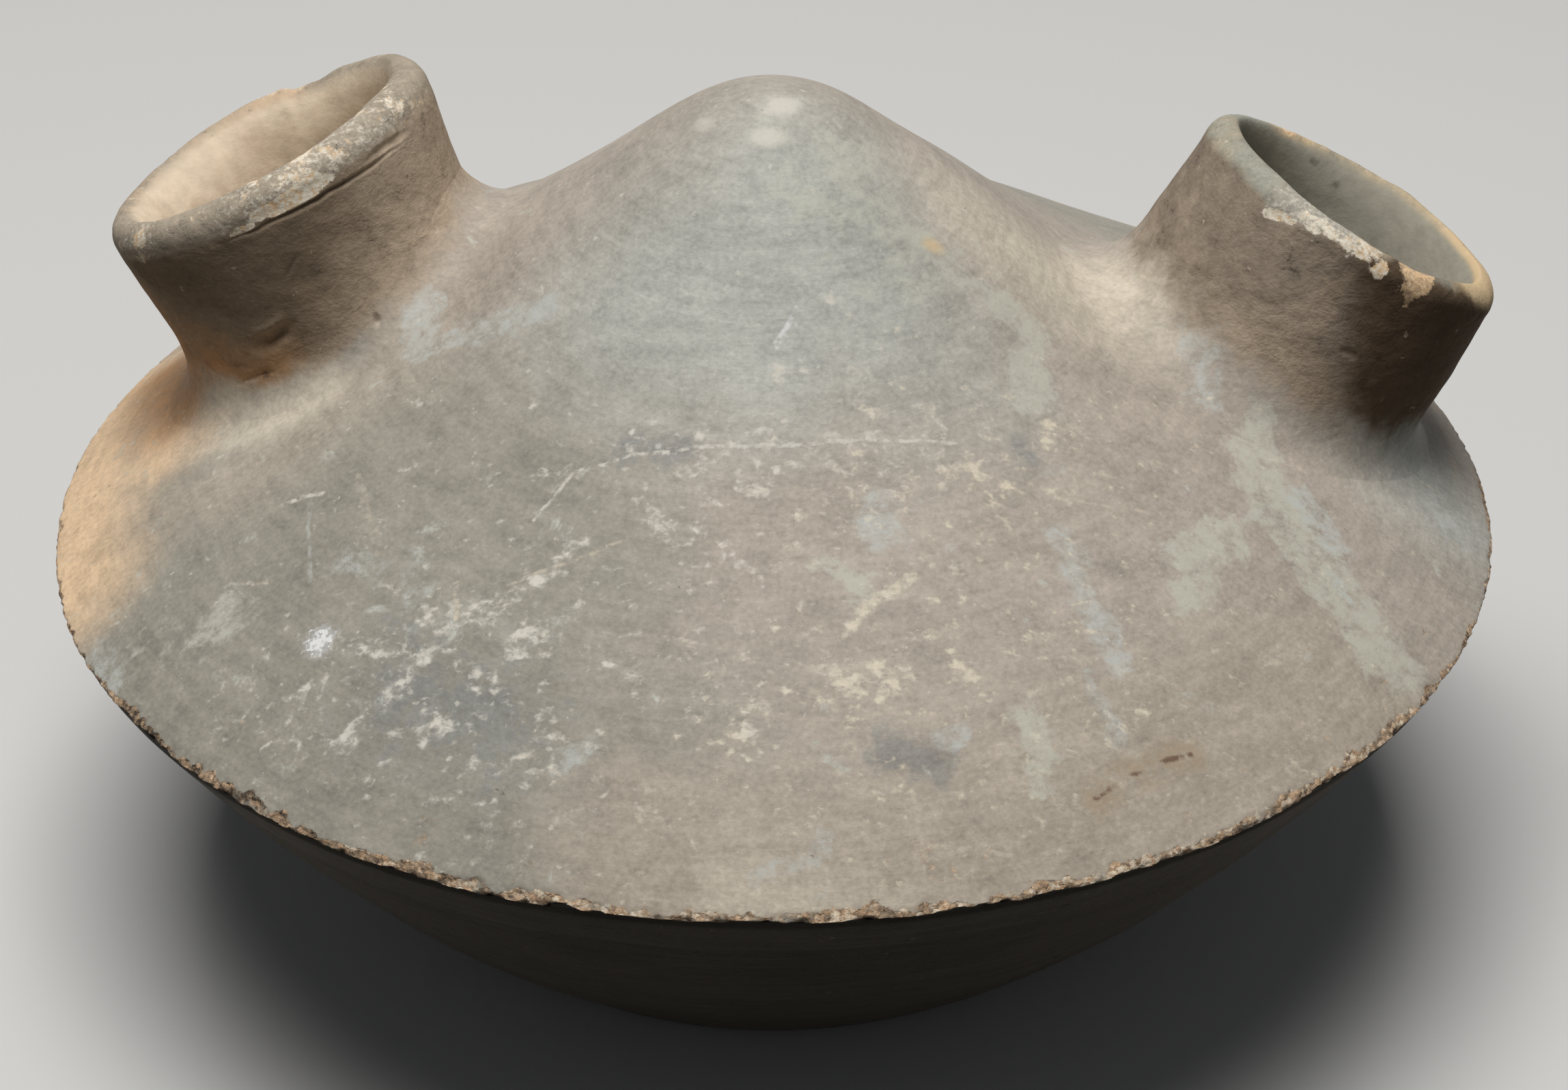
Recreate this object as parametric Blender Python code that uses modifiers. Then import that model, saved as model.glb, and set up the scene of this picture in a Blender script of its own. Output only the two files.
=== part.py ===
"""Double-spouted jar of unglazed, hand-built pottery.

A flat-based bowl carries a domed shoulder that rises to a closed peak. Two short spouts lean outward from
the shoulder, one on each side of the peak, and they are the jar's only openings. Each object here is one of
the potter's own pieces of clay, luted to its neighbours with a film of slip.

Metres, +Z up. The origin is the middle of the base, on the surface that the jar stands on. Seen from the
front, along +Y, the left spout is towards -X and the right spout towards +X.
"""
import math
from dataclasses import dataclass

import bmesh
import bpy
from mathutils import Matrix, Vector

# Bowl and base
BODY_RADIUS = 0.100  # out to the sharp edge between bowl and shoulder
BOWL_DEPTH = 0.0574  # from the standing surface up to the sharp edge
BOWL_SWELL = 0.0029  # how far the bowl's wall bows out from a straight cone
BOWL_WALL = 0.0060
BASE_RADIUS = 0.050
BASE_THICKNESS = 0.0085
BASE_JOINT_HEIGHT = 0.0035  # where the wall is luted to the base, measured up the outside

# Shoulder: a shallow dome with a soft peak standing on it
DOME_RISE = 0.0363
PEAK_RISE = 0.0252
PEAK_SPREAD = 0.0333
SHOULDER_WALL = 0.0050
PLUG_RADIUS = 0.0140  # the last opening at the peak, closed with a plug of clay

# Coil that joins shoulder to bowl at the sharp edge
SEAM_MARGIN = 0.0030  # how far the coil outreaches the thickness of the walls it joins
EDGE_BLUNT = 0.0012

# Spouts
NECK_RADIUS = 0.0234
NECK_WALL = 0.0050
NECK_STRAIGHT = 0.0105  # height of the neck before it starts to flare
LIP_OVERHANG = 0.0006  # how far the lip stands out past the top of the neck
LIP_DROP = 0.0021  # from the lip's widest ring down to its joint with the neck
LIP_CROWN = 0.0026  # from the lip's widest ring up to its crown
COLLAR_REACH = 0.0044  # luting clay spread over the shoulder
COLLAR_RISE = 0.0070  # luting clay drawn up the neck
COLLAR_FEATHER = 0.0008  # thickness of the luting clay at its edges

# Place and lean of each spout, with azimuths in degrees from +X
LEFT_SEAT_INSET = 0.0393  # from the sharp edge in to the middle of the spout
LEFT_SEAT_AZIMUTH = 167.2
LEFT_LEAN = 27.0
LEFT_LEAN_AZIMUTH = 165.8
LEFT_LENGTH = 0.0233  # from the shoulder up to the lip's widest ring
LEFT_MOUTH_RADIUS = 0.0245
LEFT_LIP_THICKNESS = 0.0060
RIGHT_SEAT_INSET = 0.0309
RIGHT_SEAT_AZIMUTH = 4.5
RIGHT_LEAN = 31.2
RIGHT_LEAN_AZIMUTH = 13.4
RIGHT_LENGTH = 0.0215
RIGHT_MOUTH_RADIUS = 0.0231
RIGHT_LIP_THICKNESS = 0.0048

# Joints and smoothness
LUTE_GAP = 0.0003  # the film of slip between two luted pieces
BODY_STEPS = 48  # facets round the jar's axis
SPOUT_STEPS = 32  # facets round a spout's axis
BOWL_POINTS = 7
SHOULDER_POINTS = 15
PLUG_POINTS = 5
NECK_POINTS = 5
LIP_POINTS = 9
COLLAR_POINTS = 6
SEAT_HALVINGS = 48
MERGE_DISTANCE = 0.00001
SHARP_ANGLE = math.radians(38)

JAR_NAME = "double_spouted_jar"


@dataclass(frozen=True)
class Clay:
    """Colour (linear) and roughness of one piece of fired clay."""

    colour: tuple[float, float, float]
    roughness: float


@dataclass(frozen=True)
class Spout:
    """Where a spout stands on the shoulder, how it leans and how large it is."""

    side: str
    seat_inset: float
    seat_azimuth: float
    lean: float
    lean_azimuth: float
    length: float
    mouth_radius: float
    lip_thickness: float

    @property
    def frame(self) -> Matrix:
        """Place of the spout: its origin on the shoulder's skin and its Z axis along the neck."""
        radius = BODY_RADIUS - self.seat_inset
        azimuth = math.radians(self.seat_azimuth)
        seat = Vector((radius * math.cos(azimuth), radius * math.sin(azimuth), shoulder_height(radius)))
        turn = Matrix.Rotation(math.radians(self.lean_azimuth), 4, "Z")
        tip = Matrix.Rotation(math.radians(self.lean), 4, "Y")
        return Matrix.Translation(seat) @ turn @ tip

    @property
    def bore_top(self) -> float:
        """Inner radius at the joint of neck and lip."""
        return self.mouth_radius - self.lip_thickness

    @property
    def neck_height(self) -> float:
        """Height of the neck's top above the seat, along the neck."""
        return self.length - LIP_DROP

    def flare(self, height: float) -> float:
        """How far the neck has opened at a height: 0 up its straight part, 1 at its top."""
        share = (height - NECK_STRAIGHT) / (self.neck_height - NECK_STRAIGHT)
        return max(share, 0.0) ** 2

    def neck_outer(self, height: float) -> float:
        """Outer radius of the neck at a height above the seat."""
        return NECK_RADIUS + self.flare(height) * (self.mouth_radius - LIP_OVERHANG - NECK_RADIUS)

    def neck_inner(self, height: float) -> float:
        """Inner radius of the neck at a height above the seat."""
        return BORE_RADIUS + self.flare(height) * (self.bore_top - BORE_RADIUS)


BORE_RADIUS = NECK_RADIUS - NECK_WALL
SPOUTS = (
    Spout("left", LEFT_SEAT_INSET, LEFT_SEAT_AZIMUTH, LEFT_LEAN, LEFT_LEAN_AZIMUTH,
          LEFT_LENGTH, LEFT_MOUTH_RADIUS, LEFT_LIP_THICKNESS),
    Spout("right", RIGHT_SEAT_INSET, RIGHT_SEAT_AZIMUTH, RIGHT_LEAN, RIGHT_LEAN_AZIMUTH,
          RIGHT_LENGTH, RIGHT_MOUTH_RADIUS, RIGHT_LIP_THICKNESS),
)

BURNISHED_SHOULDER = Clay((0.205, 0.170, 0.130), 0.62)
BURNISHED_PEAK = Clay((0.200, 0.185, 0.150), 0.60)
WIPED_BOWL = Clay((0.130, 0.108, 0.086), 0.70)
STANDING_BASE = Clay((0.150, 0.125, 0.100), 0.80)
WORN_EDGE = Clay((0.330, 0.215, 0.130), 0.90)
SPOUT_WALL = Clay((0.165, 0.130, 0.098), 0.75)
WORN_LIP = Clay((0.300, 0.235, 0.170), 0.85)
LUTING_CLAY = Clay((0.180, 0.140, 0.105), 0.75)


# Curves of the body
def spread(start: float, end: float, count: int) -> list[float]:
    """Return count values evenly from start to end, both included."""
    return [start + (end - start) * index / (count - 1) for index in range(count)]


def shoulder_height(radius: float) -> float:
    """Height of the shoulder's skin at a distance from the jar's axis."""
    dome = DOME_RISE * (1.0 - (radius / BODY_RADIUS) ** 2)
    peak = math.exp(-((radius / PEAK_SPREAD) ** 2)) - math.exp(-((BODY_RADIUS / PEAK_SPREAD) ** 2))
    return BOWL_DEPTH + dome + PEAK_RISE * peak


def shoulder_normal(radius: float) -> Vector:
    """Outward normal of the shoulder's skin, as (radius, height)."""
    dome_slope = 2.0 * DOME_RISE * radius / BODY_RADIUS**2
    peak_slope = 2.0 * PEAK_RISE * radius / PEAK_SPREAD**2 * math.exp(-((radius / PEAK_SPREAD) ** 2))
    return Vector((dome_slope + peak_slope, 1.0)).normalized()


def shoulder_skin(radius: float, depth: float = 0.0) -> Vector:
    """Point under the shoulder's skin, at a depth measured square to it."""
    return Vector((radius, shoulder_height(radius))) - depth * shoulder_normal(radius)


def bowl_arc() -> tuple[Vector, float]:
    """Centre and radius of the arc that the bowl's wall follows from the base to the sharp edge."""
    foot = Vector((BASE_RADIUS, 0.0))
    edge = Vector((BODY_RADIUS, BOWL_DEPTH))
    chord = edge - foot
    radius = (chord.length_squared / 4.0 + BOWL_SWELL**2) / (2.0 * BOWL_SWELL)
    outward = Vector((chord.y, -chord.x)).normalized()
    return (foot + edge) / 2.0 - (radius - BOWL_SWELL) * outward, radius


def bowl_normal(height: float) -> Vector:
    """Outward normal of the bowl's skin, as (radius, height)."""
    centre, radius = bowl_arc()
    rise = (height - centre.y) / radius
    return Vector((math.sqrt(1.0 - rise**2), rise))


def bowl_skin(height: float, depth: float = 0.0) -> Vector:
    """Point under the bowl's skin, at a depth measured square to it."""
    centre, radius = bowl_arc()
    return centre + (radius - depth) * bowl_normal(height)


SEAM_TOP_RADIUS = BODY_RADIUS - SHOULDER_WALL - SEAM_MARGIN
SEAM_FOOT_HEIGHT = BOWL_DEPTH - BOWL_WALL - SEAM_MARGIN


# Blender objects
def new_collection(name: str) -> bpy.types.Collection:
    """Add a collection to the scene."""
    collection = bpy.data.collections.new(name)
    bpy.context.scene.collection.children.link(collection)
    return collection


def add_object(name: str, mesh: bpy.types.Mesh, collection: bpy.types.Collection) -> bpy.types.Object:
    """Add a mesh object to a collection."""
    piece = bpy.data.objects.new(name, mesh)
    collection.objects.link(piece)
    return piece


def add_frame(name: str, place: Matrix, collection: bpy.types.Collection) -> bpy.types.Object:
    """Add an empty that carries pieces at a place."""
    empty = bpy.data.objects.new(name, None)
    empty.matrix_world = place
    collection.objects.link(empty)
    return empty


def turned(name: str, profile: list[Vector], steps: int, collection: bpy.types.Collection,
           ring: bool = True) -> bpy.types.Object:
    """Turn a profile of (radius, height) points about Z.

    Args:
        name: the object's name.
        profile: points down the outer side first, then up the inner side for a ring.
        steps: number of steps round the axis.
        collection: where the object goes.
        ring: whether the profile closes on itself, or ends on the axis at both ends.

    Returns:
        The turned object.
    """
    mesh = bpy.data.meshes.new(name)
    count = len(profile)
    edges = [(index, index + 1) for index in range(count - 1)]
    if ring:
        edges.append((count - 1, 0))
    mesh.from_pydata([(point.x, 0.0, point.y) for point in profile], edges, [])
    piece = add_object(name, mesh, collection)
    screw = piece.modifiers.new("turn", "SCREW")
    screw.axis = "Z"
    screw.angle = 2.0 * math.pi
    screw.steps = steps
    screw.render_steps = steps
    screw.use_merge_vertices = True
    screw.merge_threshold = MERGE_DISTANCE
    return piece


def as_cutter(piece: bpy.types.Object) -> bpy.types.Object:
    """Mark an object as a cutter, which is no part of the jar."""
    piece.hide_render = True
    piece.display_type = "WIRE"
    return piece


def cut(piece: bpy.types.Object, cutter: bpy.types.Object) -> None:
    """Take a cutter's shape out of a piece."""
    boolean = piece.modifiers.new(f"cut by {cutter.name}", "BOOLEAN")
    boolean.operation = "DIFFERENCE"
    boolean.solver = "EXACT"
    boolean.object = cutter


def finish(piece: bpy.types.Object, clay: Clay, parent: bpy.types.Object) -> None:
    """Give a piece its parent, its final mesh, smooth shading and its own material."""
    piece.parent = parent
    bpy.context.view_layer.update()
    evaluated = piece.evaluated_get(bpy.context.evaluated_depsgraph_get())
    mesh = bpy.data.meshes.new_from_object(evaluated)
    piece.modifiers.clear()
    piece.data = mesh
    mesh.shade_smooth()
    mesh.set_sharp_from_angle(angle=SHARP_ANGLE)
    material = bpy.data.materials.new(f"{piece.name}_clay")
    material.use_nodes = True
    shader = material.node_tree.nodes["Principled BSDF"]
    shader.inputs["Base Color"].default_value = (*clay.colour, 1.0)
    shader.inputs["Roughness"].default_value = clay.roughness
    shader.inputs["Metallic"].default_value = 0.0
    mesh.materials.clear()
    mesh.materials.append(material)


# Body
def make_base(parts: bpy.types.Collection) -> bpy.types.Object:
    """Flat disc that the jar stands on, with a slanting edge that the bowl's wall is luted to."""
    profile = [Vector((0.0, BASE_THICKNESS))]
    profile.append(bowl_skin(BASE_JOINT_HEIGHT, BOWL_WALL))
    profile.append(bowl_skin(BASE_JOINT_HEIGHT))
    profile.append(Vector((BASE_RADIUS, 0.0)))
    profile.append(Vector((0.0, 0.0)))
    return turned("base_disc", profile, BODY_STEPS, parts, ring=False)


def make_bowl(parts: bpy.types.Collection) -> bpy.types.Object:
    """Lower wall of the jar, from the base up to the coil at the sharp edge."""
    foot = BASE_JOINT_HEIGHT + LUTE_GAP / bowl_normal(BASE_JOINT_HEIGHT).x
    top = SEAM_FOOT_HEIGHT - LUTE_GAP / bowl_normal(SEAM_FOOT_HEIGHT).x
    outer = [bowl_skin(height) for height in spread(top, foot, BOWL_POINTS)]
    inner = [bowl_skin(height, BOWL_WALL) for height in spread(foot, top, BOWL_POINTS)]
    return turned("lower_bowl", outer + inner, BODY_STEPS, parts)


def make_seam_coil(parts: bpy.types.Collection) -> bpy.types.Object:
    """Coil of clay that joins shoulder to bowl and makes the jar's sharp edge."""
    above = shoulder_skin(BODY_RADIUS - EDGE_BLUNT)
    below = bowl_skin(BOWL_DEPTH - EDGE_BLUNT)
    corner = Vector((BODY_RADIUS, BOWL_DEPTH))
    profile = [shoulder_skin(SEAM_TOP_RADIUS), above]
    profile.append((above + below) / 4.0 + corner / 2.0)
    profile.append(below)
    profile.append(bowl_skin(SEAM_FOOT_HEIGHT))
    profile.append(bowl_skin(SEAM_FOOT_HEIGHT, BOWL_WALL))
    profile.append(shoulder_skin(SEAM_TOP_RADIUS, SHOULDER_WALL))
    return turned("seam_coil", profile, BODY_STEPS, parts)


def make_shoulder(parts: bpy.types.Collection) -> bpy.types.Object:
    """Domed upper wall, open at the peak for the plug."""
    top = PLUG_RADIUS + LUTE_GAP / shoulder_normal(PLUG_RADIUS).y
    foot = SEAM_TOP_RADIUS - LUTE_GAP / shoulder_normal(SEAM_TOP_RADIUS).y
    outer = [shoulder_skin(radius) for radius in spread(top, foot, SHOULDER_POINTS)]
    inner = [shoulder_skin(radius, SHOULDER_WALL) for radius in spread(foot, top, SHOULDER_POINTS)]
    return turned("shoulder", outer + inner, BODY_STEPS, parts)


def make_plug(parts: bpy.types.Collection) -> bpy.types.Object:
    """Plug of clay that closes the peak, tapered so that it was pressed in from outside."""
    outer = [shoulder_skin(radius) for radius in spread(0.0, PLUG_RADIUS, PLUG_POINTS)]
    inner = [shoulder_skin(radius, SHOULDER_WALL) for radius in spread(PLUG_RADIUS, 0.0, PLUG_POINTS)]
    return turned("apex_plug", outer + inner, BODY_STEPS, parts, ring=False)


def make_shoulder_envelope(cutters: bpy.types.Collection) -> bpy.types.Object:
    """Cutter that trims the necks to the shoulder, a film of slip above its skin."""
    profile = [shoulder_skin(radius, -LUTE_GAP) for radius in spread(0.0, BODY_RADIUS, 2 * SHOULDER_POINTS)]
    profile.append(Vector((profile[-1].x, 0.0)))
    profile.append(Vector((0.0, 0.0)))
    return as_cutter(turned("shoulder_envelope", profile, BODY_STEPS, cutters, ring=False))


# Spouts
def make_bore(spout: Spout, frame: bpy.types.Object, cutters: bpy.types.Collection) -> bpy.types.Object:
    """Cutter for the hole that opens the shoulder under a spout."""
    above = NECK_STRAIGHT
    below = -SHOULDER_WALL - NECK_RADIUS / 2.0
    profile = [Vector((0.0, above)), Vector((BORE_RADIUS, above))]
    profile += [Vector((BORE_RADIUS, below)), Vector((0.0, below))]
    bore = as_cutter(turned(f"{spout.side}_bore", profile, SPOUT_STEPS, cutters, ring=False))
    bore.parent = frame
    return bore


def make_neck(spout: Spout, parts: bpy.types.Collection) -> bpy.types.Object:
    """Tube of a spout, straight above the shoulder and flared below its lip."""
    root = -NECK_RADIUS
    heights = spread(spout.neck_height, NECK_STRAIGHT, NECK_POINTS)
    outer = [Vector((spout.neck_outer(height), height)) for height in heights]
    outer.append(Vector((NECK_RADIUS, root)))
    inner = [Vector((BORE_RADIUS, root))]
    inner += [Vector((spout.neck_inner(height), height)) for height in reversed(heights)]
    return turned(f"{spout.side}_spout_neck", outer + inner, SPOUT_STEPS, parts)


def make_lip(spout: Spout, parts: bpy.types.Collection) -> bpy.types.Object:
    """Rounded coil laid on top of a neck, standing out a little past it."""
    half = spout.lip_thickness / 2.0
    middle = spout.mouth_radius - half
    foot = spout.neck_height + LUTE_GAP
    profile = []
    for angle in spread(math.pi, 0.0, LIP_POINTS):
        crown = spout.length + LIP_CROWN * math.sin(angle)
        profile.append(Vector((middle + half * math.cos(angle), crown)))
    profile.append(Vector((spout.mouth_radius - LIP_OVERHANG / 2.0, foot)))
    profile.append(Vector((spout.bore_top, foot)))
    return turned(f"{spout.side}_spout_lip", profile, SPOUT_STEPS, parts)


def seat_height(frame: Matrix, radius: float, angle: float) -> float:
    """Height along a spout where it meets the shoulder, a film of slip above the skin.

    Args:
        frame: the spout's place.
        radius: distance from the spout's axis.
        angle: direction round the spout's axis, in radians.

    Returns:
        The height above the spout's seat, found by halving a span that holds it.
    """
    low = -BOWL_DEPTH
    high = DOME_RISE + PEAK_RISE
    for _ in range(SEAT_HALVINGS):
        middle = (low + high) / 2.0
        point = frame @ Vector((radius * math.cos(angle), radius * math.sin(angle), middle))
        reach = math.hypot(point.x, point.y)
        clearance = (point.z - shoulder_height(reach)) * shoulder_normal(reach).y
        if clearance < LUTE_GAP:
            low = middle
        else:
            high = middle
    return high


def collar_section(spout: Spout, frame: Matrix, angle: float) -> list[Vector]:
    """Section of the luting clay at one direction round a spout, as (radius, height) points.

    The foot lies along the shoulder, the back along the neck, and a hollow curve joins their far ends.
    """
    start = NECK_RADIUS + LUTE_GAP
    foot = [Vector((radius, seat_height(frame, radius, angle)))
            for radius in spread(start, start + COLLAR_REACH, COLLAR_POINTS)]
    tip = foot[-1] + Vector((0.0, COLLAR_FEATHER))
    top = foot[0].y + COLLAR_RISE
    heights = spread(top, foot[0].y, COLLAR_POINTS)[:-1]
    back = [Vector((spout.neck_outer(height) + LUTE_GAP, height)) for height in heights]
    crest = back[0] + Vector((COLLAR_FEATHER, 0.0))
    bend = Vector((crest.x, tip.y + (foot[0].y - foot[-1].y)))
    hollow = []
    for share in spread(0.0, 1.0, COLLAR_POINTS):
        hollow.append(crest * (1.0 - share) ** 2 + bend * 2.0 * share * (1.0 - share) + tip * share**2)
    return hollow + list(reversed(foot)) + list(reversed(back))


def make_collar(spout: Spout, parts: bpy.types.Collection) -> bpy.types.Object:
    """Fillet of luting clay round a spout's root, lofted because the shoulder under it isn't flat."""
    frame = spout.frame
    shell = bmesh.new()
    rings = []
    for step in range(SPOUT_STEPS):
        angle = 2.0 * math.pi * step / SPOUT_STEPS
        section = collar_section(spout, frame, angle)
        rings.append([shell.verts.new((point.x * math.cos(angle), point.x * math.sin(angle), point.y))
                      for point in section])
    for step, ring in enumerate(rings):
        following = rings[(step + 1) % SPOUT_STEPS]
        for index in range(len(ring)):
            after = (index + 1) % len(ring)
            shell.faces.new((ring[index], ring[after], following[after], following[index]))
    bmesh.ops.recalc_face_normals(shell, faces=shell.faces[:])
    mesh = bpy.data.meshes.new(f"{spout.side}_luting_collar")
    shell.to_mesh(mesh)
    shell.free()
    return add_object(f"{spout.side}_luting_collar", mesh, parts)


def build_body(parts: bpy.types.Collection, jar: bpy.types.Object) -> bpy.types.Object:
    """Make the bowl's and shoulder's pieces, and return the shoulder, which the spouts still cut."""
    finish(make_base(parts), STANDING_BASE, jar)
    finish(make_bowl(parts), WIPED_BOWL, jar)
    finish(make_seam_coil(parts), WORN_EDGE, jar)
    finish(make_plug(parts), BURNISHED_PEAK, jar)
    return make_shoulder(parts)


def build_spout(spout: Spout, parts: bpy.types.Collection, cutters: bpy.types.Collection,
                jar: bpy.types.Object, shoulder: bpy.types.Object, envelope: bpy.types.Object) -> None:
    """Make a spout's neck, lip and luting clay, and open the shoulder under it."""
    frame = add_frame(f"{spout.side}_spout", spout.frame, parts)
    frame.parent = jar
    cut(shoulder, make_bore(spout, frame, cutters))
    neck = make_neck(spout, parts)
    cut(neck, envelope)
    finish(neck, SPOUT_WALL, frame)
    finish(make_lip(spout, parts), WORN_LIP, frame)
    finish(make_collar(spout, parts), LUTING_CLAY, frame)


def main() -> None:
    """Build the jar in an empty scene."""
    for leftover in list(bpy.data.objects):
        bpy.data.objects.remove(leftover)
    parts = new_collection(JAR_NAME)
    cutters = new_collection("cutters")
    jar = add_frame(JAR_NAME, Matrix.Identity(4), parts)
    shoulder = build_body(parts, jar)
    envelope = make_shoulder_envelope(cutters)
    for spout in SPOUTS:
        build_spout(spout, parts, cutters, jar, shoulder, envelope)
    finish(shoulder, BURNISHED_SHOULDER, jar)


main()
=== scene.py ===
"""Looks of the double-spouted jar: its uneven clay skin, crumbled edge, stains and scratches."""
import logging
import math
from dataclasses import dataclass
from enum import Enum
from typing import Callable, Sequence

import bpy
import numpy as np
from mathutils import Matrix


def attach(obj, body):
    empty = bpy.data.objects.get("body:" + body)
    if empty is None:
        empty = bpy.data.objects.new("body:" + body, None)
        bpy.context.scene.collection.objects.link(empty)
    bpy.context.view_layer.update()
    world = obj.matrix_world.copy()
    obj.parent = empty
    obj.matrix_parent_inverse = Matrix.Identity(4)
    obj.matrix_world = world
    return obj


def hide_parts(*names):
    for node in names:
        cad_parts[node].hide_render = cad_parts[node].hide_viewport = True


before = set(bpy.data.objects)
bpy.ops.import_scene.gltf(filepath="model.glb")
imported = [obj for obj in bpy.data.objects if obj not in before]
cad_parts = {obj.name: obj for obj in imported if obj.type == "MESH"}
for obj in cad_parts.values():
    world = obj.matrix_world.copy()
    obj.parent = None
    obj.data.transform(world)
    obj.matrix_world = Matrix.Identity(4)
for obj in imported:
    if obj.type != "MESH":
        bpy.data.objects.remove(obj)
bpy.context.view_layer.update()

LOG = logging.getLogger("jar")
MM = 0.001

Colour = tuple[float, float, float]
Place = tuple[float, float, float]
Spot = tuple[float, float]
Stops = tuple[Spot, ...]
EVEN: Place = (1.0, 1.0, 1.0)


def smooth_step(low: float, high: float, value: np.ndarray) -> np.ndarray:
    """Ease from 0 at low to 1 at high.

    Args:
        low: Value at which the step starts.
        high: Value at which it ends; may be below low.
        value: Numbers to ease.

    Returns:
        Numbers from 0 to 1.
    """
    part = np.clip((value - low) / (high - low), 0.0, 1.0)
    return part * part * (3.0 - 2.0 * part)


def round_blend(degrees: np.ndarray, stops: Stops) -> np.ndarray:
    """Ease between values set at angles round a ring.

    Args:
        degrees: Angles to read, in degrees.
        stops: Pairs of an angle and its value, by rising angle within one turn.

    Returns:
        One value for each angle.
    """
    angles = np.array([stop[0] for stop in stops])
    values = np.array([stop[1] for stop in stops])
    angles = np.append(angles, angles[0] + 360.0)
    values = np.append(values, values[0])
    turned = (degrees - angles[0]) % 360.0 + angles[0]
    index = np.clip(np.searchsorted(angles, turned, side="right") - 1, 0, len(stops) - 1)
    part = (turned - angles[index]) / (angles[index + 1] - angles[index])
    eased = 0.5 - 0.5 * np.cos(math.pi * part)
    return values[index] + (values[index + 1] - values[index]) * eased


def turn_gap(degrees: np.ndarray, middle: float) -> np.ndarray:
    """Return how far angles are from a middle one, from -180 to 180 degrees."""
    return (degrees - middle + 180.0) % 360.0 - 180.0


@dataclass(frozen=True)
class ClayNoise:
    """Repeatable noise in space, for what a hand and wear leave on clay."""

    seed: int = 41

    def draw(self, cells: np.ndarray, salt: int) -> np.ndarray:
        """Return a repeatable whole number for each cell of a lattice.

        Args:
            cells: Whole-number cells, three to a row.
            salt: Number that tells one use from another.

        Returns:
            Whole numbers of 32 bits.
        """
        mixed = cells[..., 0] * 374761393 + cells[..., 1] * 668265263 + cells[..., 2] * 1440670441
        mixed = (mixed + (self.seed + salt) * 1274126177) & 0xFFFFFFFF
        mixed = ((mixed ^ (mixed >> 15)) * 739982445) & 0xFFFFFFFF
        mixed = ((mixed ^ (mixed >> 12)) * 695872825) & 0xFFFFFFFF
        return mixed ^ (mixed >> 15)

    def wave(self, spots: np.ndarray, size: float, salt: int) -> np.ndarray:
        """Return smooth noise of about -1 to 1.

        Args:
            spots: Points in metres.
            size: Width of one swell in metres.
            salt: Number that tells one use from another.

        Returns:
            One value for each point.
        """
        scaled = spots / size
        cells = np.floor(scaled).astype(np.int64)
        part = scaled - cells
        ease = part * part * part * (part * (part * 6.0 - 15.0) + 10.0)
        total = np.zeros(spots.shape[:-1])
        for corner in np.ndindex(2, 2, 2):
            code = self.draw(cells + np.array(corner), salt)
            lean = np.stack([code & 1023, (code >> 10) & 1023, (code >> 20) & 1023], axis=-1) / 511.5 - 1.0
            weight = np.prod(np.where(np.array(corner) == 1, ease, 1.0 - ease), axis=-1)
            total += weight * np.sum(lean * (part - np.array(corner)), axis=-1)
        return 1.5 * total


def add_object(name: str, data: bpy.types.ID) -> bpy.types.Object:
    """Make an object and link it to the scene."""
    made = bpy.data.objects.new(name, data)
    bpy.context.scene.collection.objects.link(made)
    return made


@dataclass(frozen=True)
class ClayMesh:
    """Rings of points that make one closed skin of clay."""

    name: str
    rings: np.ndarray
    tips: tuple[Place, ...] = ()
    sharp_degrees: float = 60.0

    def faces(self) -> list[list[int]]:
        """Return the corners of the faces between the rings, and of the fans at the tips."""
        count, steps = self.rings.shape[:2]
        this = np.arange(steps)
        after = (this + 1) % steps
        made: list[list[int]] = []
        last = count - 1 if self.tips else count
        for row in range(last):
            low = row * steps
            high = (row + 1) % count * steps
            made += np.stack([low + this, low + after, high + after, high + this], axis=1).tolist()
        for number, row in zip(range(len(self.tips)), (0, count - 1)):
            tip = np.full(steps, count * steps + number)
            pair = (after, this) if number == 0 else (this, after)
            made += np.stack([row * steps + pair[0], row * steps + pair[1], tip], axis=1).tolist()
        return made

    def build(self) -> bpy.types.Object:
        """Make the piece, with its faces outwards.

        Returns:
            The new object, linked to the scene.
        """
        points = self.rings.reshape(-1, 3)
        if self.tips:
            points = np.vstack([points, np.array(self.tips)])
        faces = self.faces()
        fans = [(face[0], face[i], face[i + 1]) for face in faces for i in range(1, len(face) - 1)]
        corners = points[np.array(fans)]
        volume = np.sum(corners[:, 0] * np.cross(corners[:, 1], corners[:, 2]))
        if volume < 0.0:
            faces = [face[::-1] for face in faces]
        mesh = bpy.data.meshes.new(self.name)
        mesh.from_pydata(points.tolist(), [], faces)
        mesh.shade_smooth()
        mesh.set_sharp_from_angle(angle=math.radians(self.sharp_degrees))
        mesh.validate()
        return add_object(self.name, mesh)


def turned(angles: np.ndarray, reach: np.ndarray, height: np.ndarray) -> np.ndarray:
    """Return points round the jar's axis from angles, radii and heights."""
    reach, height, angles = np.broadcast_arrays(reach, height, angles)
    return np.stack([reach * np.cos(angles), reach * np.sin(angles), height], axis=-1)


@dataclass(frozen=True)
class Swell:
    """A low swell on the shoulder, or a hollow if its height is below 0: seen from above, in millimetres."""

    x: float
    y: float
    half_x: float
    half_y: float
    height: float

    def lift(self, x: np.ndarray, y: np.ndarray) -> np.ndarray:
        """Return its height at places in metres."""
        across = (x / MM - self.x) / self.half_x
        along = (y / MM - self.y) / self.half_y
        return self.height * np.exp(-across * across - along * along)


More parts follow.
